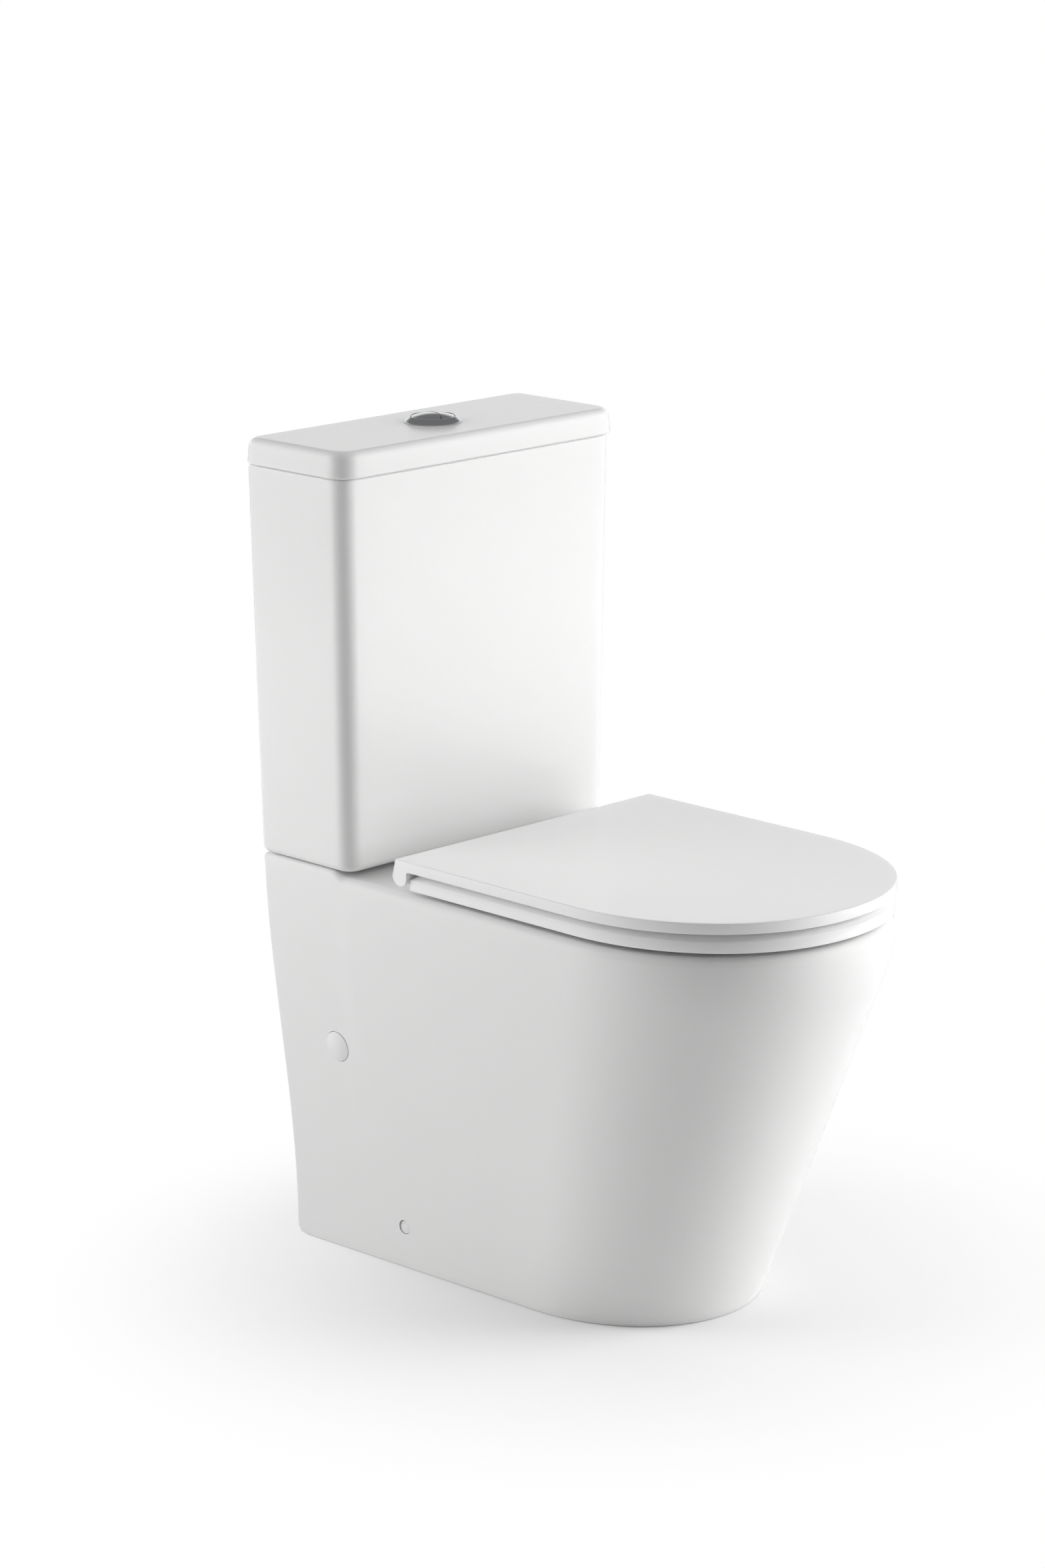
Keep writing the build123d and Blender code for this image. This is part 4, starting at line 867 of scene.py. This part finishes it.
    def window(self) -> bpy.types.Object:
        """Cutter that opens the pan's rear between its side walls, up to the deck's underside."""
        loops = []
        for z in np.linspace(-5.0, self.deck_z - self.slab, 30):
            half = self.plan(max(z, 0.0)).rear_half - self.wall - 0.3
            corners = np.array([[-half, -6.0], [half, -6.0], [half, 24.0], [-half, 24.0]])
            loops.append(level_loop(corners, z))
        return loft("cut", loops, angle=20.0)

    def build(self) -> bpy.types.Object:
        """Body, bowl and pipes are joined, then bores, window and side holes are cut."""
        body = loft("pan_china", self.shell_rows(), angle=40.0)
        combine(body, loft("add", self.bowl_rows(self.bowl_wall, self.rim_z - 6.0, 0.0)), "UNION")
        route = rounded_route(list(self.trap), list(self.trap_bends))
        bore, outer = self.trap_radii
        combine(body, tube_along("add", route, np.full(len(route), outer)), "UNION")
        rear, front, z, out_radius, in_radius = self.outlet
        along = np.array([rear, rear + 2.0, front - 2.0, front])
        spigot = np.stack([along, np.full(4, z)], axis=-1)
        radii = np.array([out_radius - 1.5, out_radius, out_radius, out_radius - 1.5])
        combine(body, tube_along("add", spigot, radii), "UNION")
        theta = full_turn(72)
        for radius, low, high in (self.flush_well, self.flush_throat):
            x, along = radius * np.cos(theta), self.inlet_setback + radius * np.sin(theta)
            combine(body, loft("add", [to_world(x, along, height) for height in (low, high)]), "UNION")
        stop, height, radius = self.channel
        channel = np.array([[self.inlet_setback, height], [stop, height]])
        combine(body, tube_along("add", channel, np.array([radius, radius])), "UNION")
        combine(body, loft("cut", self.bowl_rows(0.0, self.rim_z, self.mouth_round)), "DIFFERENCE")
        combine(body, tube_along("cut", route, np.full(len(route), bore)), "DIFFERENCE")
        inner = np.array([[rear - 4.0, z]] + [[rear + depth, z] for depth in self.socket])
        combine(body, tube_along("cut", inner, np.array([in_radius, in_radius, bore])), "DIFFERENCE")
        combine(body, self.window(), "DIFFERENCE")
        for place in (self.access, self.side_fix):
            for bar in self.side_cutter(place):
                combine(body, bar, "DIFFERENCE")
        return body

    def dress(self, materials: dict) -> None:
        """Builds the pan, hangs it on the fixed body and hides its three CAD nodes."""
        body = self.build()
        finish_piece(body, Body.FIXED, Slot.CHINA, materials, "pan", "pan_bowl", "pan_trap")


@dataclass
class Tank:
    """Tapered china cistern body, open at the top."""

    top_z: float = 808.4
    bottom_z: float = 414.5
    top_size: tuple = (370.0, 142.5)
    bottom_size: tuple = (357.0, 133.1)
    back_lean: float = 2.3
    rounds: tuple = (10.0, 18.0)
    foot_round: float = 8.0
    lip_round: float = 3.0
    wall: float = 9.0
    floor: float = 10.0
    floor_round: float = 6.0

    def outline(self, z: float, inset: float) -> np.ndarray:
        """Plan at a height, moved in by inset, with corner rounds that shrink with it."""
        share = (z - self.bottom_z) / (self.top_z - self.bottom_z)
        width = self.bottom_size[0] + (self.top_size[0] - self.bottom_size[0]) * share
        front = self.back_lean + self.bottom_size[1]
        front += (self.top_size[1] - front) * share
        rear = self.back_lean * (1.0 - share)
        rear_round = max(self.rounds[0] - inset, 2.0)
        front_round = max(self.rounds[1] - inset, 2.0)
        return box_outline(width / 2.0 - inset, rear + inset, front - inset, rear_round, front_round)

    def build(self) -> bpy.types.Object:
        """One skin: underside pole, foot round, outer wall, lip, inner wall, floor pole."""
        rows = []
        base = self.outline(self.bottom_z, self.foot_round)
        middle = base.mean(0)
        for share in (0.05, 0.4, 0.8):
            rows.append(level_loop(shrunk(base, middle, share), self.bottom_z))
        for inset, drop in quarter(self.foot_round, 90.0, 0.0, 11):
            z = self.bottom_z + drop
            rows.append(level_loop(self.outline(z, inset), z))
        for z in np.linspace(self.bottom_z + self.foot_round, self.top_z - self.lip_round, 48)[1:-1]:
            rows.append(level_loop(self.outline(z, 0.0), z))
        for turn in np.radians(np.linspace(0.0, 180.0, 17)):
            z = self.top_z - self.lip_round * (1.0 - math.sin(turn))
            inset = self.wall / 2.0 - (self.wall / 2.0) * math.cos(turn)
            rows.append(level_loop(self.outline(z, inset), z))
        corner_z = self.bottom_z + self.floor + self.floor_round
        for z in np.linspace(self.top_z - self.lip_round, corner_z, 24)[1:]:
            rows.append(level_loop(self.outline(z, self.wall), z))
        for inset, drop in quarter(self.floor_round, 15.0, 90.0, 6):
            z = self.bottom_z + self.floor + drop
            rows.append(level_loop(self.outline(z, self.wall + inset), z))
        rows.append(level_loop(shrunk(base, middle, 0.1), self.bottom_z + self.floor))
        return loft("cistern_tank_china", rows, angle=40.0)

    def dress(self, materials: dict) -> None:
        """Builds the tank, hangs it on the fixed body and hides its CAD node."""
        finish_piece(self.build(), Body.FIXED, Slot.CHINA, materials, "cistern_tank")


@dataclass
class CisternLid:
    """China lid with a rounded top edge, a locating rib and the button's hole."""

    top_z: float = 834.85
    bottom_z: float = 808.5
    half: float = 188.3
    depth: float = 147.1
    draft: float = 1.4
    rounds: tuple = (14.0, 22.0)
    top_round: float = 8.5
    edge_round: float = 3.0
    plate: float = 10.0
    rim: float = 15.0
    rib: tuple = (12.0, 17.0, 9.0)
    hole: tuple = (73.0, 24.2)

    def outline(self, inset: float) -> np.ndarray:
        """Plan moved in by inset."""
        rear_round = max(self.rounds[0] - inset * 0.6, 2.0)
        front_round = max(self.rounds[1] - inset * 0.6, 2.0)
        return box_outline(self.half - inset, 0.2 + inset, self.depth - inset, rear_round, front_round)

    def build(self) -> bpy.types.Object:
        """A ring-shaped skin: top from hole to edge, round, side, underside, pocket, rib and hole wall."""
        edge = self.outline(self.top_round + self.draft)
        angle = np.arctan2(edge[:, 0], edge[:, 1] - self.hole[0])
        circle = np.stack([np.sin(angle), np.cos(angle)], axis=-1)

        def hole_ring(radius: float) -> np.ndarray:
            return np.array([0.0, self.hole[0]]) + circle * radius

        rows = [level_loop(hole_ring(self.hole[1]), self.top_z - 0.6)]
        for share in np.linspace(0.0, 1.0, 26)[:-1]:
            rows.append(level_loop(hole_ring(self.hole[1] + 0.6) * (1 - share) + edge * share, self.top_z))
        for inset, drop in quarter(self.top_round, 90.0, 0.0, 12):
            rows.append(level_loop(self.outline(self.draft + inset), self.top_z - drop))
        for inset, drop in quarter(self.edge_round, 0.0, 90.0, 8):
            rows.append(level_loop(self.outline(inset), self.bottom_z + drop))
        under = self.top_z - self.plate
        out, inner, drop = self.rib
        low = self.bottom_z - drop
        for inset, z in (
            (out - 1.0, self.bottom_z),
            (out, self.bottom_z - 1.0),
            (out + 0.5, low + 1.0),
            (out + 1.5, low),
            (inner - 1.0, low),
            (inner, low + 1.0),
            (inner, under - 2.0),
            (inner + 2.0, under),
        ):
            rows.append(level_loop(self.outline(inset), z))
        last = self.outline(inner + 2.0)
        for share in np.linspace(0.0, 1.0, 14)[1:]:
            rows.append(level_loop(last * (1 - share) + hole_ring(self.hole[1]) * share, under))
        return loft("cistern_lid_china", rows, wrap_rows=True, angle=40.0)

    def dress(self, materials: dict) -> None:
        """Builds the lid, hangs it on the lid's body and hides its CAD node."""
        finish_piece(self.build(), Body.LID, Slot.CHINA, materials, "cistern_lid")


@dataclass
class FlushButton:
    """Chrome bezel and the two halves of the domed button, with their springs."""

    setback: float = 73.0
    lid_top: float = 834.85
    bezel_radius: float = 28.7
    bezel_edge: float = 2.0
    bezel_rise: float = 6.0
    bore: float = 21.9
    collar: float = 23.8
    collar_z: float = 806.0
    radius: float = 21.6
    top_z: float = 844.3
    body_z: float = 832.0
    edge: float = 0.7
    split_radius: float = 32.6
    split_offset: float = -1.6
    split_turn: float = 176.0
    split_gap: float = 0.8
    rod_spread: float = 12.0
    floor_z: float = 821.0
    spring: tuple = (5.0, 0.5, 5.0)

    def bezel(self) -> bpy.types.Object:
        """Bezel turned from one profile: threaded collar, flat flange, soft outer lip and low cone."""
        top = self.lid_top
        lip = arc((self.bezel_radius - 1.2, top + self.bezel_edge - 1.2), 1.2, 0.0, 75.0, 7)
        crest = arc((self.bore + 1.3, top + self.bezel_rise - 0.9), 0.9, 75.0, 180.0, 9)
        profile = np.concatenate(
            [
                np.array(
                    [
                        [self.bore, self.collar_z],
                        [self.collar, self.collar_z],
                        [self.collar, top - 0.02],
                        [self.bezel_radius - 0.3, top - 0.02],
                        [self.bezel_radius, top + 0.3],
                    ]
                ),
                lip,
                crest,
                np.array([[self.bore, top + self.bezel_rise - 2.0]]),
            ]
        )
        return revolve("bezel_chrome", profile, (0.0, self.setback), turns=144, angle=30.0)

    def dome(self, x: np.ndarray, y: np.ndarray) -> np.ndarray:
        """Height of the dome over a point: a spherical cap that meets the rim's height at its radius."""
        rise = self.top_z - (self.lid_top + self.bezel_rise - 0.5)
        sphere = (self.radius**2 + rise**2) / (2.0 * rise)
        return self.top_z - sphere + np.sqrt(sphere**2 - x**2 - y**2)

    def half_region(self, full: bool) -> tuple:
        """Two edge curves, from tip to tip, that bound one half of the button in plan.

        The split is an arc of its own radius; the outer edge is the button's circle between the
        points where that arc meets it.
        """
        gap = self.split_gap / 2.0
        reach = self.split_radius + (gap if full else -gap)
        centre = self.split_offset + self.split_radius
        meet_x = (centre**2 + self.radius**2 - reach**2) / (2.0 * centre)
        meet_y = math.sqrt(self.radius**2 - meet_x**2)
        count = 97
        split_half = math.atan2(meet_y, centre - meet_x)
        split_turn = np.linspace(-split_half, split_half, count)
        split = np.stack([centre - reach * np.cos(split_turn), reach * np.sin(split_turn)], axis=-1)
        rim_half = math.atan2(meet_y, meet_x)
        if full:
            rim_turn = np.linspace(-rim_half, -2.0 * np.pi + rim_half, count)
        else:
            rim_turn = np.linspace(-rim_half, rim_half, count)
        rim = np.stack([self.radius * np.cos(rim_turn), self.radius * np.sin(rim_turn)], axis=-1)
        return split, rim

    def cap(self, full: bool) -> bpy.types.Object:
        """One half of the button: a domed top with a rounded edge, a side wall and a flat underside.

        The outline is moved inwards through the edge round, then drawn towards its middle in loops
        that lie on the dome.
        """
        split, rim = self.half_region(full)
        outline = np.concatenate([split, rim[::-1][1:-1]])
        step = np.roll(outline, -1, axis=0) - np.roll(outline, 1, axis=0)
        normal = np.stack([-step[:, 1], step[:, 0]], axis=-1)
        normal /= np.linalg.norm(normal, axis=1)[:, None]
        middle = outline.mean(0)
        if ((middle - outline) * normal).sum() < 0.0:
            normal = -normal
        turn = math.radians(self.split_turn)
        spin = np.array([[math.cos(turn), math.sin(turn)], [-math.sin(turn), math.cos(turn)]])

        def loop(points: np.ndarray, z: np.ndarray) -> np.ndarray:
            turned = points @ spin
            return to_world(turned[:, 0], self.setback - turned[:, 1], z)

        rows = [loop(shrunk(outline, middle, 0.05), self.body_z), loop(outline, self.body_z)]
        for inset, drop in quarter(self.edge, 0.0, 75.0, 6):
            points = outline + normal * inset
            rows.append(loop(points, self.dome(points[:, 0], points[:, 1]) - drop))
        edge = outline + normal * self.edge
        for share in np.linspace(1.0, 0.03, 26):
            points = shrunk(edge, middle, share)
            rows.append(loop(points, self.dome(points[:, 0], points[:, 1])))
        name = "full_flush_cap" if full else "half_flush_cap"
        return loft(name, rows, angle=35.0)

    def coil(self, name: str, x: float) -> bpy.types.Object:
        """Compression spring: a round wire carried along a helix between floor and button."""
        radius, wire, coils = self.spring
        turn = np.linspace(0.0, 2.0 * np.pi * coils, int(40 * coils))
        low = self.floor_z + 2.0 + wire
        high = self.body_z - wire - 0.1
        z = low + (high - low) * turn / turn[-1]
        section = full_turn(10)
        loops = []
        for angle, height in zip(turn, z):
            out = radius + wire * np.cos(section)
            along = self.setback + out * math.sin(angle)
            loops.append(to_world(x + out * math.cos(angle), along, height + wire * np.sin(section)))
        return loft(name, loops, angle=60.0)

    def dress(self, materials: dict) -> None:
        """Builds the chrome pieces and springs, and hides the CAD nodes they stand for."""
        finish_piece(self.bezel(), Body.LID, Slot.CHROME, materials, "button_bezel")
        finish_piece(self.cap(True), Body.FULL_BUTTON, Slot.CHROME, materials, "full_flush_button")
        finish_piece(self.cap(False), Body.HALF_BUTTON, Slot.CHROME, materials, "half_flush_button")
        for side, word in ((1.0, "full"), (-1.0, "half")):
            coil = self.coil(f"{word}_coil_spring", side * self.rod_spread)
            finish_piece(coil, Body.LID, Slot.STEEL, materials, f"{word}_button_spring")
            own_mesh(coil)


@dataclass
class Seat:
    """Slim D-shaped cover with a hooked rear lip, and the ring under it."""

    half: float = 176.5
    rear: float = 199.8
    nose_start: float = 437.1
    nose_length: float = 197.1
    cover_z: tuple = (432.3, 443.2)
    cover_edge: float = 0.9
    cover_under_edge: float = 0.6
    cover_middle: float = 410.0
    ring_z: tuple = (413.4, 424.4, 430.2)
    ring_rear: float = 214.6
    ring_inset: float = 3.2
    ring_nose_inset: float = 0.6
    ring_bevel: float = 11.0
    ring_under_edge: float = 1.2
    ring_side_inset: float = 0.6
    ring_mouth_round: float = 9.0
    ring_hole: tuple = (423.0, 155.0, 106.0)
    hinge: tuple = (205.0, 425.0)
    knuckle: tuple = (46.5, 66.5, 7.0)
    notch: tuple = (45.5, 88.5)

    def cover_plan(self) -> DPlan:
        """Plan of the cover."""
        return DPlan(self.rear, self.half, self.nose_start, self.half, self.nose_length, corner=1.6)

    def ring_plan(self) -> DPlan:
        """Plan of the ring."""
        half = self.half - self.ring_inset
        return DPlan(
            self.ring_rear, half, self.nose_start, half, self.nose_length - self.ring_nose_inset, corner=3.5
        )

    def hook_profile(self) -> np.ndarray:
        """Side view of the rear lip as (setback, z): upright back, rounded foot, hollow front face."""
        low, top = self.cover_z
        back = np.array([[200.0, top - 0.9], [199.0, top - 6.0], [197.4, top - 12.0], [196.3, 427.0]])
        heel = arc((206.0, 426.9), 9.9, 185.0, 270.0, 16)
        toe = arc((206.0, 426.5), 9.5, 272.0, 356.0, 16)
        fillet = arc((217.6, low - 2.0), 2.0, 175.0, 95.0, 6)
        tail = np.array([[219.0, low + 0.4], [224.0, low + 1.5], [224.0, top - 0.9]])
        return np.concatenate([back, heel, toe, fillet, tail])

    def bar(self, name: str, profile: np.ndarray, low: float, high: float, edge: float) -> bpy.types.Object:
        """Profile in side view carried along X, with its last millimetre drawn in at each end."""
        middle = profile.mean(0)
        reach = np.abs(profile - middle).max()
        loops = []
        for x, inset in ((low, edge), (low + edge, 0.0), (high - edge, 0.0), (high, edge)):
            points = shrunk(profile, middle, 1.0 - inset / reach)
            loops.append(to_world(np.full(len(points), x), points[:, 0], points[:, 1]))
        return loft(name, loops, angle=40.0, flat_ends=True)

    def cover(self) -> bpy.types.Object:
        """Flat plate with fine rounded edges, joined to the three stretches of its rear lip."""
        plan = self.cover_plan()
        low, top = self.cover_z
        rows = []
        middle = np.array([0.0, self.cover_middle])
        inner = plan.outline(self.cover_under_edge)
        for share in (0.05, 0.5, 0.97):
            rows.append(level_loop(shrunk(inner, middle, share), low))
        for inset, drop in quarter(self.cover_under_edge, 90.0, 0.0, 5):
            rows.append(level_loop(plan.outline(inset), low + drop))
        for inset, drop in quarter(self.cover_edge, 0.0, 90.0, 8):
            rows.append(level_loop(plan.outline(inset), top - drop))
        outer = plan.outline(self.cover_edge)
        for share in (0.985, 0.95, 0.8, 0.6, 0.4, 0.2, 0.05):
            rows.append(level_loop(shrunk(outer, middle, share), top))
        plate = loft("seat_cover_resin", rows, angle=50.0)
        profile = self.hook_profile()
        inner_x, outer_x = self.notch
        for start, stop in ((-self.half, -outer_x), (-inner_x, inner_x), (outer_x, self.half)):
            combine(plate, self.bar("add", profile, start, stop, 0.01), "UNION", angle=38.0)
        return plate

    def ring(self) -> bpy.types.Object:
        """Ring skin carried round the D plan: side, bevel, crown, inner round, inner wall and underside."""
        plan = self.ring_plan()
        low, side, top = self.ring_z
        middle, length, width = self.ring_hole
        edge = plan.outline(0.0)

        def mouth(grow: float) -> np.ndarray:
            return ring_towards(edge, middle, length + grow, width + grow)

        rows = []
        for inset, drop in quarter(self.ring_under_edge, 90.0, 0.0, 5):
            rows.append(level_loop(plan.outline(inset), low + drop))
        rows.append(level_loop(plan.outline(0.4), side - 0.7))
        rows.append(level_loop(plan.outline(self.ring_side_inset), side - 0.2))
        rows.append(level_loop(plan.outline(1.0), side + 0.3))
        for share in np.linspace(0.12, 1.0, 8):
            inset = self.ring_side_inset + self.ring_bevel * share
            rows.append(level_loop(plan.outline(inset), side + (top - side) * share))
        shoulder = plan.outline(self.ring_side_inset + self.ring_bevel)
        for share in np.linspace(0.08, 0.9, 10):
            rows.append(level_loop(shoulder * (1 - share) + mouth(self.ring_mouth_round) * share, top))
        for out, drop in quarter(self.ring_mouth_round, 90.0, 0.0, 9):
            rows.append(level_loop(mouth(out), top - drop))
        rows.append(level_loop(mouth(1.0), low + 2.0))
        rows.append(level_loop(mouth(3.0), low))
        body = loft("seat_ring_resin", rows, wrap_rows=True, angle=50.0)
        in_x, out_x, radius = self.knuckle
        setback, z = self.hinge
        barrel = arc((setback, z), radius, 80.0, 280.0, 22)
        root = self.ring_rear + 10.0
        arm = np.concatenate([barrel, np.array([[root, z - radius], [root, z + 2.5]])])
        for side_sign in (-1.0, 1.0):
            start, stop = sorted((side_sign * in_x, side_sign * out_x))
            combine(body, self.bar("add", arm, start, stop, 0.5), "UNION", angle=38.0)
        return body

    def dress(self, materials: dict) -> None:
        """Builds cover and ring, hangs them on their bodies and hides their CAD nodes."""
        finish_piece(self.cover(), Body.COVER, Slot.SEAT, materials, "seat_cover")
        finish_piece(self.ring(), Body.RING, Slot.SEAT, materials, "seat_ring")


@dataclass
class ValveWorks:
    """CAD pieces that keep their shape and take a finish: valves, fixings, hinges and caps."""

    materials: dict
    smooth_angle: float = 28.0

    def dress(self) -> None:
        """Gives every CAD node that is still shown the finish of its record slot, smoothly shaded."""
        slots = {part["node"]: part["material_slot"] for part in FRAME["record"]["subparts"]}
        for name, node in sorted(FRAME["nodes"].items()):
            node.data.materials.clear()
            node.data.materials.append(self.materials[slots[name]])
            if node.hide_render:
                continue
            weld = node.modifiers.new("weld", "WELD")
            weld.merge_threshold = 1e-6
            node.data.shade_smooth()
            smooth = node.modifiers.new("bevel", "BEVEL")
            smooth.width = 0.00025
            smooth.segments = 2
            smooth.limit_method = "ANGLE"
            smooth.angle_limit = math.radians(self.smooth_angle)
            smooth.harden_normals = True
            LOG.info("CAD piece %s takes finish %s", name, slots[name])


def finish_piece(obj: bpy.types.Object, body: Body, slot: Slot, materials: dict, *nodes: str) -> None:
    """Gives a new piece the material of its record slot, hangs it on its body and hides the CAD nodes it
    stands for.

    Args:
        obj: The piece.
        body: Body it rides on.
        slot: Record slot whose finish it takes.
        materials: Materials by slot name.
        *nodes: CAD nodes that it replaces.
    """
    obj.data.materials.clear()
    obj.data.materials.append(materials[slot.value])
    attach(obj, body.value)
    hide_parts(*nodes)
    LOG.info("piece %s: %d faces, on %s", obj.name, len(obj.data.polygons), body.value)


@dataclass(frozen=True)
class Studio:
    """Pale floor, soft boxes on both sides and above, reflection cards at the sides, and the camera."""

    camera_place: tuple = (-3062.2, -3362.8, 1606.4)
    azimuth: float = -45.0
    elevation: float = 14.44
    roll: float = -0.29
    lens: float = 105.0
    shift: tuple = (-0.0474, 0.0077)

    def camera(self) -> None:
        """Camera with the long lens and small shift that give the wanted framing."""
        data = bpy.data.cameras.new("camera")
        data.lens = self.lens
        data.sensor_width = 36.0
        data.sensor_fit = "AUTO"
        data.shift_x, data.shift_y = self.shift
        data.clip_end = 50.0
        camera = bpy.data.objects.new("camera", data)
        az, el = math.radians(self.azimuth), math.radians(self.elevation)
        forward = Vector((-math.sin(az) * math.cos(el), math.cos(az) * math.cos(el), -math.sin(el)))
        turn = forward.to_track_quat("-Z", "Y").to_matrix() @ Matrix.Rotation(math.radians(self.roll), 3, "Z")
        place = Vector(self.camera_place) * MM + Vector((0.0, WALL_Y * MM, 0.0))
        camera.matrix_world = Matrix.Translation(place) @ turn.to_4x4()
        bpy.context.scene.collection.objects.link(camera)
        bpy.context.scene.camera = camera

    @staticmethod
    def soft_box(name: str, place: tuple, aim: tuple, size: tuple, power: float, card: bool = False) -> None:
        """Rectangular light at place, facing aim: a card is seen in reflections only, a box never is."""
        data = bpy.data.lights.new(name, "AREA")
        data.shape = "RECTANGLE"
        data.size, data.size_y = size
        data.energy = power
        light = bpy.data.objects.new(name, data)
        light.visible_glossy = card
        light.visible_diffuse = not card
        light.location = place
        light.rotation_euler = (Vector(aim) - Vector(place)).to_track_quat("-Z", "Y").to_euler()
        bpy.context.scene.collection.objects.link(light)

    @staticmethod
    def floor(materials: dict) -> None:
        """Large pale floor."""
        half = 40.0
        corners = np.array([[-half, -half, 0.0], [half, -half, 0.0], [half, half, 0.0], [-half, half, 0.0]])
        mesh = bpy.data.meshes.new("floor")
        mesh.from_pydata(corners.tolist(), [], [[0, 1, 2, 3]])
        obj = bpy.data.objects.new("floor", mesh)
        obj.data.materials.append(materials["floor"])
        bpy.context.scene.collection.objects.link(obj)

    @staticmethod
    def world() -> None:
        """Surround that is white behind the object at low heights and darker above and in front."""
        world = bpy.data.worlds.new("surround")
        world.use_nodes = True
        bpy.context.scene.world = world
        graph = Graph(world.node_tree)
        back = next(n for n in world.node_tree.nodes if n.type == "BACKGROUND")
        back.inputs["Color"].default_value = (1.0, 1.0, 1.0, 1.0)
        way = graph.add("TexCoord")
        rearward = (0.707, 0.707, 0.0)
        generated = way.outputs["Generated"]
        behind = graph.add("VectorMath", {"operation": "DOT_PRODUCT"}, i_0=generated, i_1=rearward)
        soft = {"interpolation_type": "SMOOTHSTEP"}
        far = graph.add("MapRange", soft, Value=behind.outputs["Value"], From_Min=-0.1, From_Max=0.75)
        split = graph.add("SeparateXYZ", Vector=generated)
        low = graph.add("MapRange", soft, Value=split.outputs["Z"], From_Min=0.5, From_Max=0.2)
        glow = graph.math("MULTIPLY", far.outputs[0], low.outputs[0])
        level = graph.add("MapRange", Value=glow, To_Min=0.22, To_Max=1.0)
        path = graph.add("LightPath")
        seen = graph.add("Mix")
        graph.plug(seen, 0, path.outputs["Is Camera Ray"])
        graph.plug(seen, 2, level.outputs[0])
        graph.plug(seen, 3, 1.05)
        graph.plug(back, "Strength", seen.outputs[0])

    def build(self, materials: dict) -> None:
        """Sets the stage: a big soft box and a reflection card on each side, and a weak box above."""
        self.world()
        self.floor(materials)
        self.camera()
        aim = (0.0, 0.0, 0.45)
        left, right, size = (-2.0, 2.1, 1.35), (2.1, -2.0, 1.35), (1.9, 2.4)
        self.soft_box("top_box", (0.3, -0.3, 2.6), aim, (2.4, 2.4), 8.0)
        self.soft_box("left_box", left, aim, size, 62.0)
        self.soft_box("right_box", right, aim, size, 92.0)
        self.soft_box("left_card", left, aim, size, 20.0, card=True)
        self.soft_box("right_card", right, aim, size, 24.0, card=True)
        scene = bpy.context.scene
        scene.view_settings.view_transform = "Standard"
        scene.view_settings.look = "None"


def floor_material() -> bpy.types.Material:
    """Matt pale floor that the camera sees fade to white with distance from the object."""
    material = bpy.data.materials.new("pale_floor")
    material.use_nodes = True
    graph = Graph(material.node_tree)
    surface = next(n for n in material.node_tree.nodes if n.type == "BSDF_PRINCIPLED")
    output = next(n for n in material.node_tree.nodes if n.type == "OUTPUT_MATERIAL")
    place = graph.add("TexCoord")
    away = graph.add("VectorMath", {"operation": "LENGTH"}, i_0=place.outputs["Object"])
    soft = {"interpolation_type": "SMOOTHSTEP"}
    fade = graph.add("MapRange", soft, Value=away.outputs["Value"], From_Min=0.0, From_Max=0.6)
    path = graph.add("LightPath")
    seen = graph.math("MULTIPLY", fade.outputs[0], path.outputs["Is Camera Ray"])
    graph.plug(surface, "Base Color", (0.9, 0.9, 0.9, 1.0))
    graph.plug(surface, "Roughness", 0.85)
    white = graph.add("Emission", Color=(1.0, 1.0, 1.0, 1.0), Strength=1.0)
    blend = graph.add("MixShader", i_0=seen, i_1=surface.outputs[0], i_2=white.outputs[0])
    graph.tree.links.new(blend.outputs[0], output.inputs["Surface"])
    return material


def main() -> None:
    """Builds the finishes, then each sub-assembly, then the studio."""
    logging.basicConfig(level=logging.INFO, format="%(name)s: %(message)s")
    effects = SharedEffects()
    materials = {slot: finish.build(effects) for slot, finish in FINISHES.items()}
    materials["floor"] = floor_material()
    Pan().dress(materials)
    Tank().dress(materials)
    CisternLid().dress(materials)
    FlushButton().dress(materials)
    Seat().dress(materials)
    ValveWorks(materials).dress()
    Studio().build(materials)


if __name__ == "__main__":
    main()
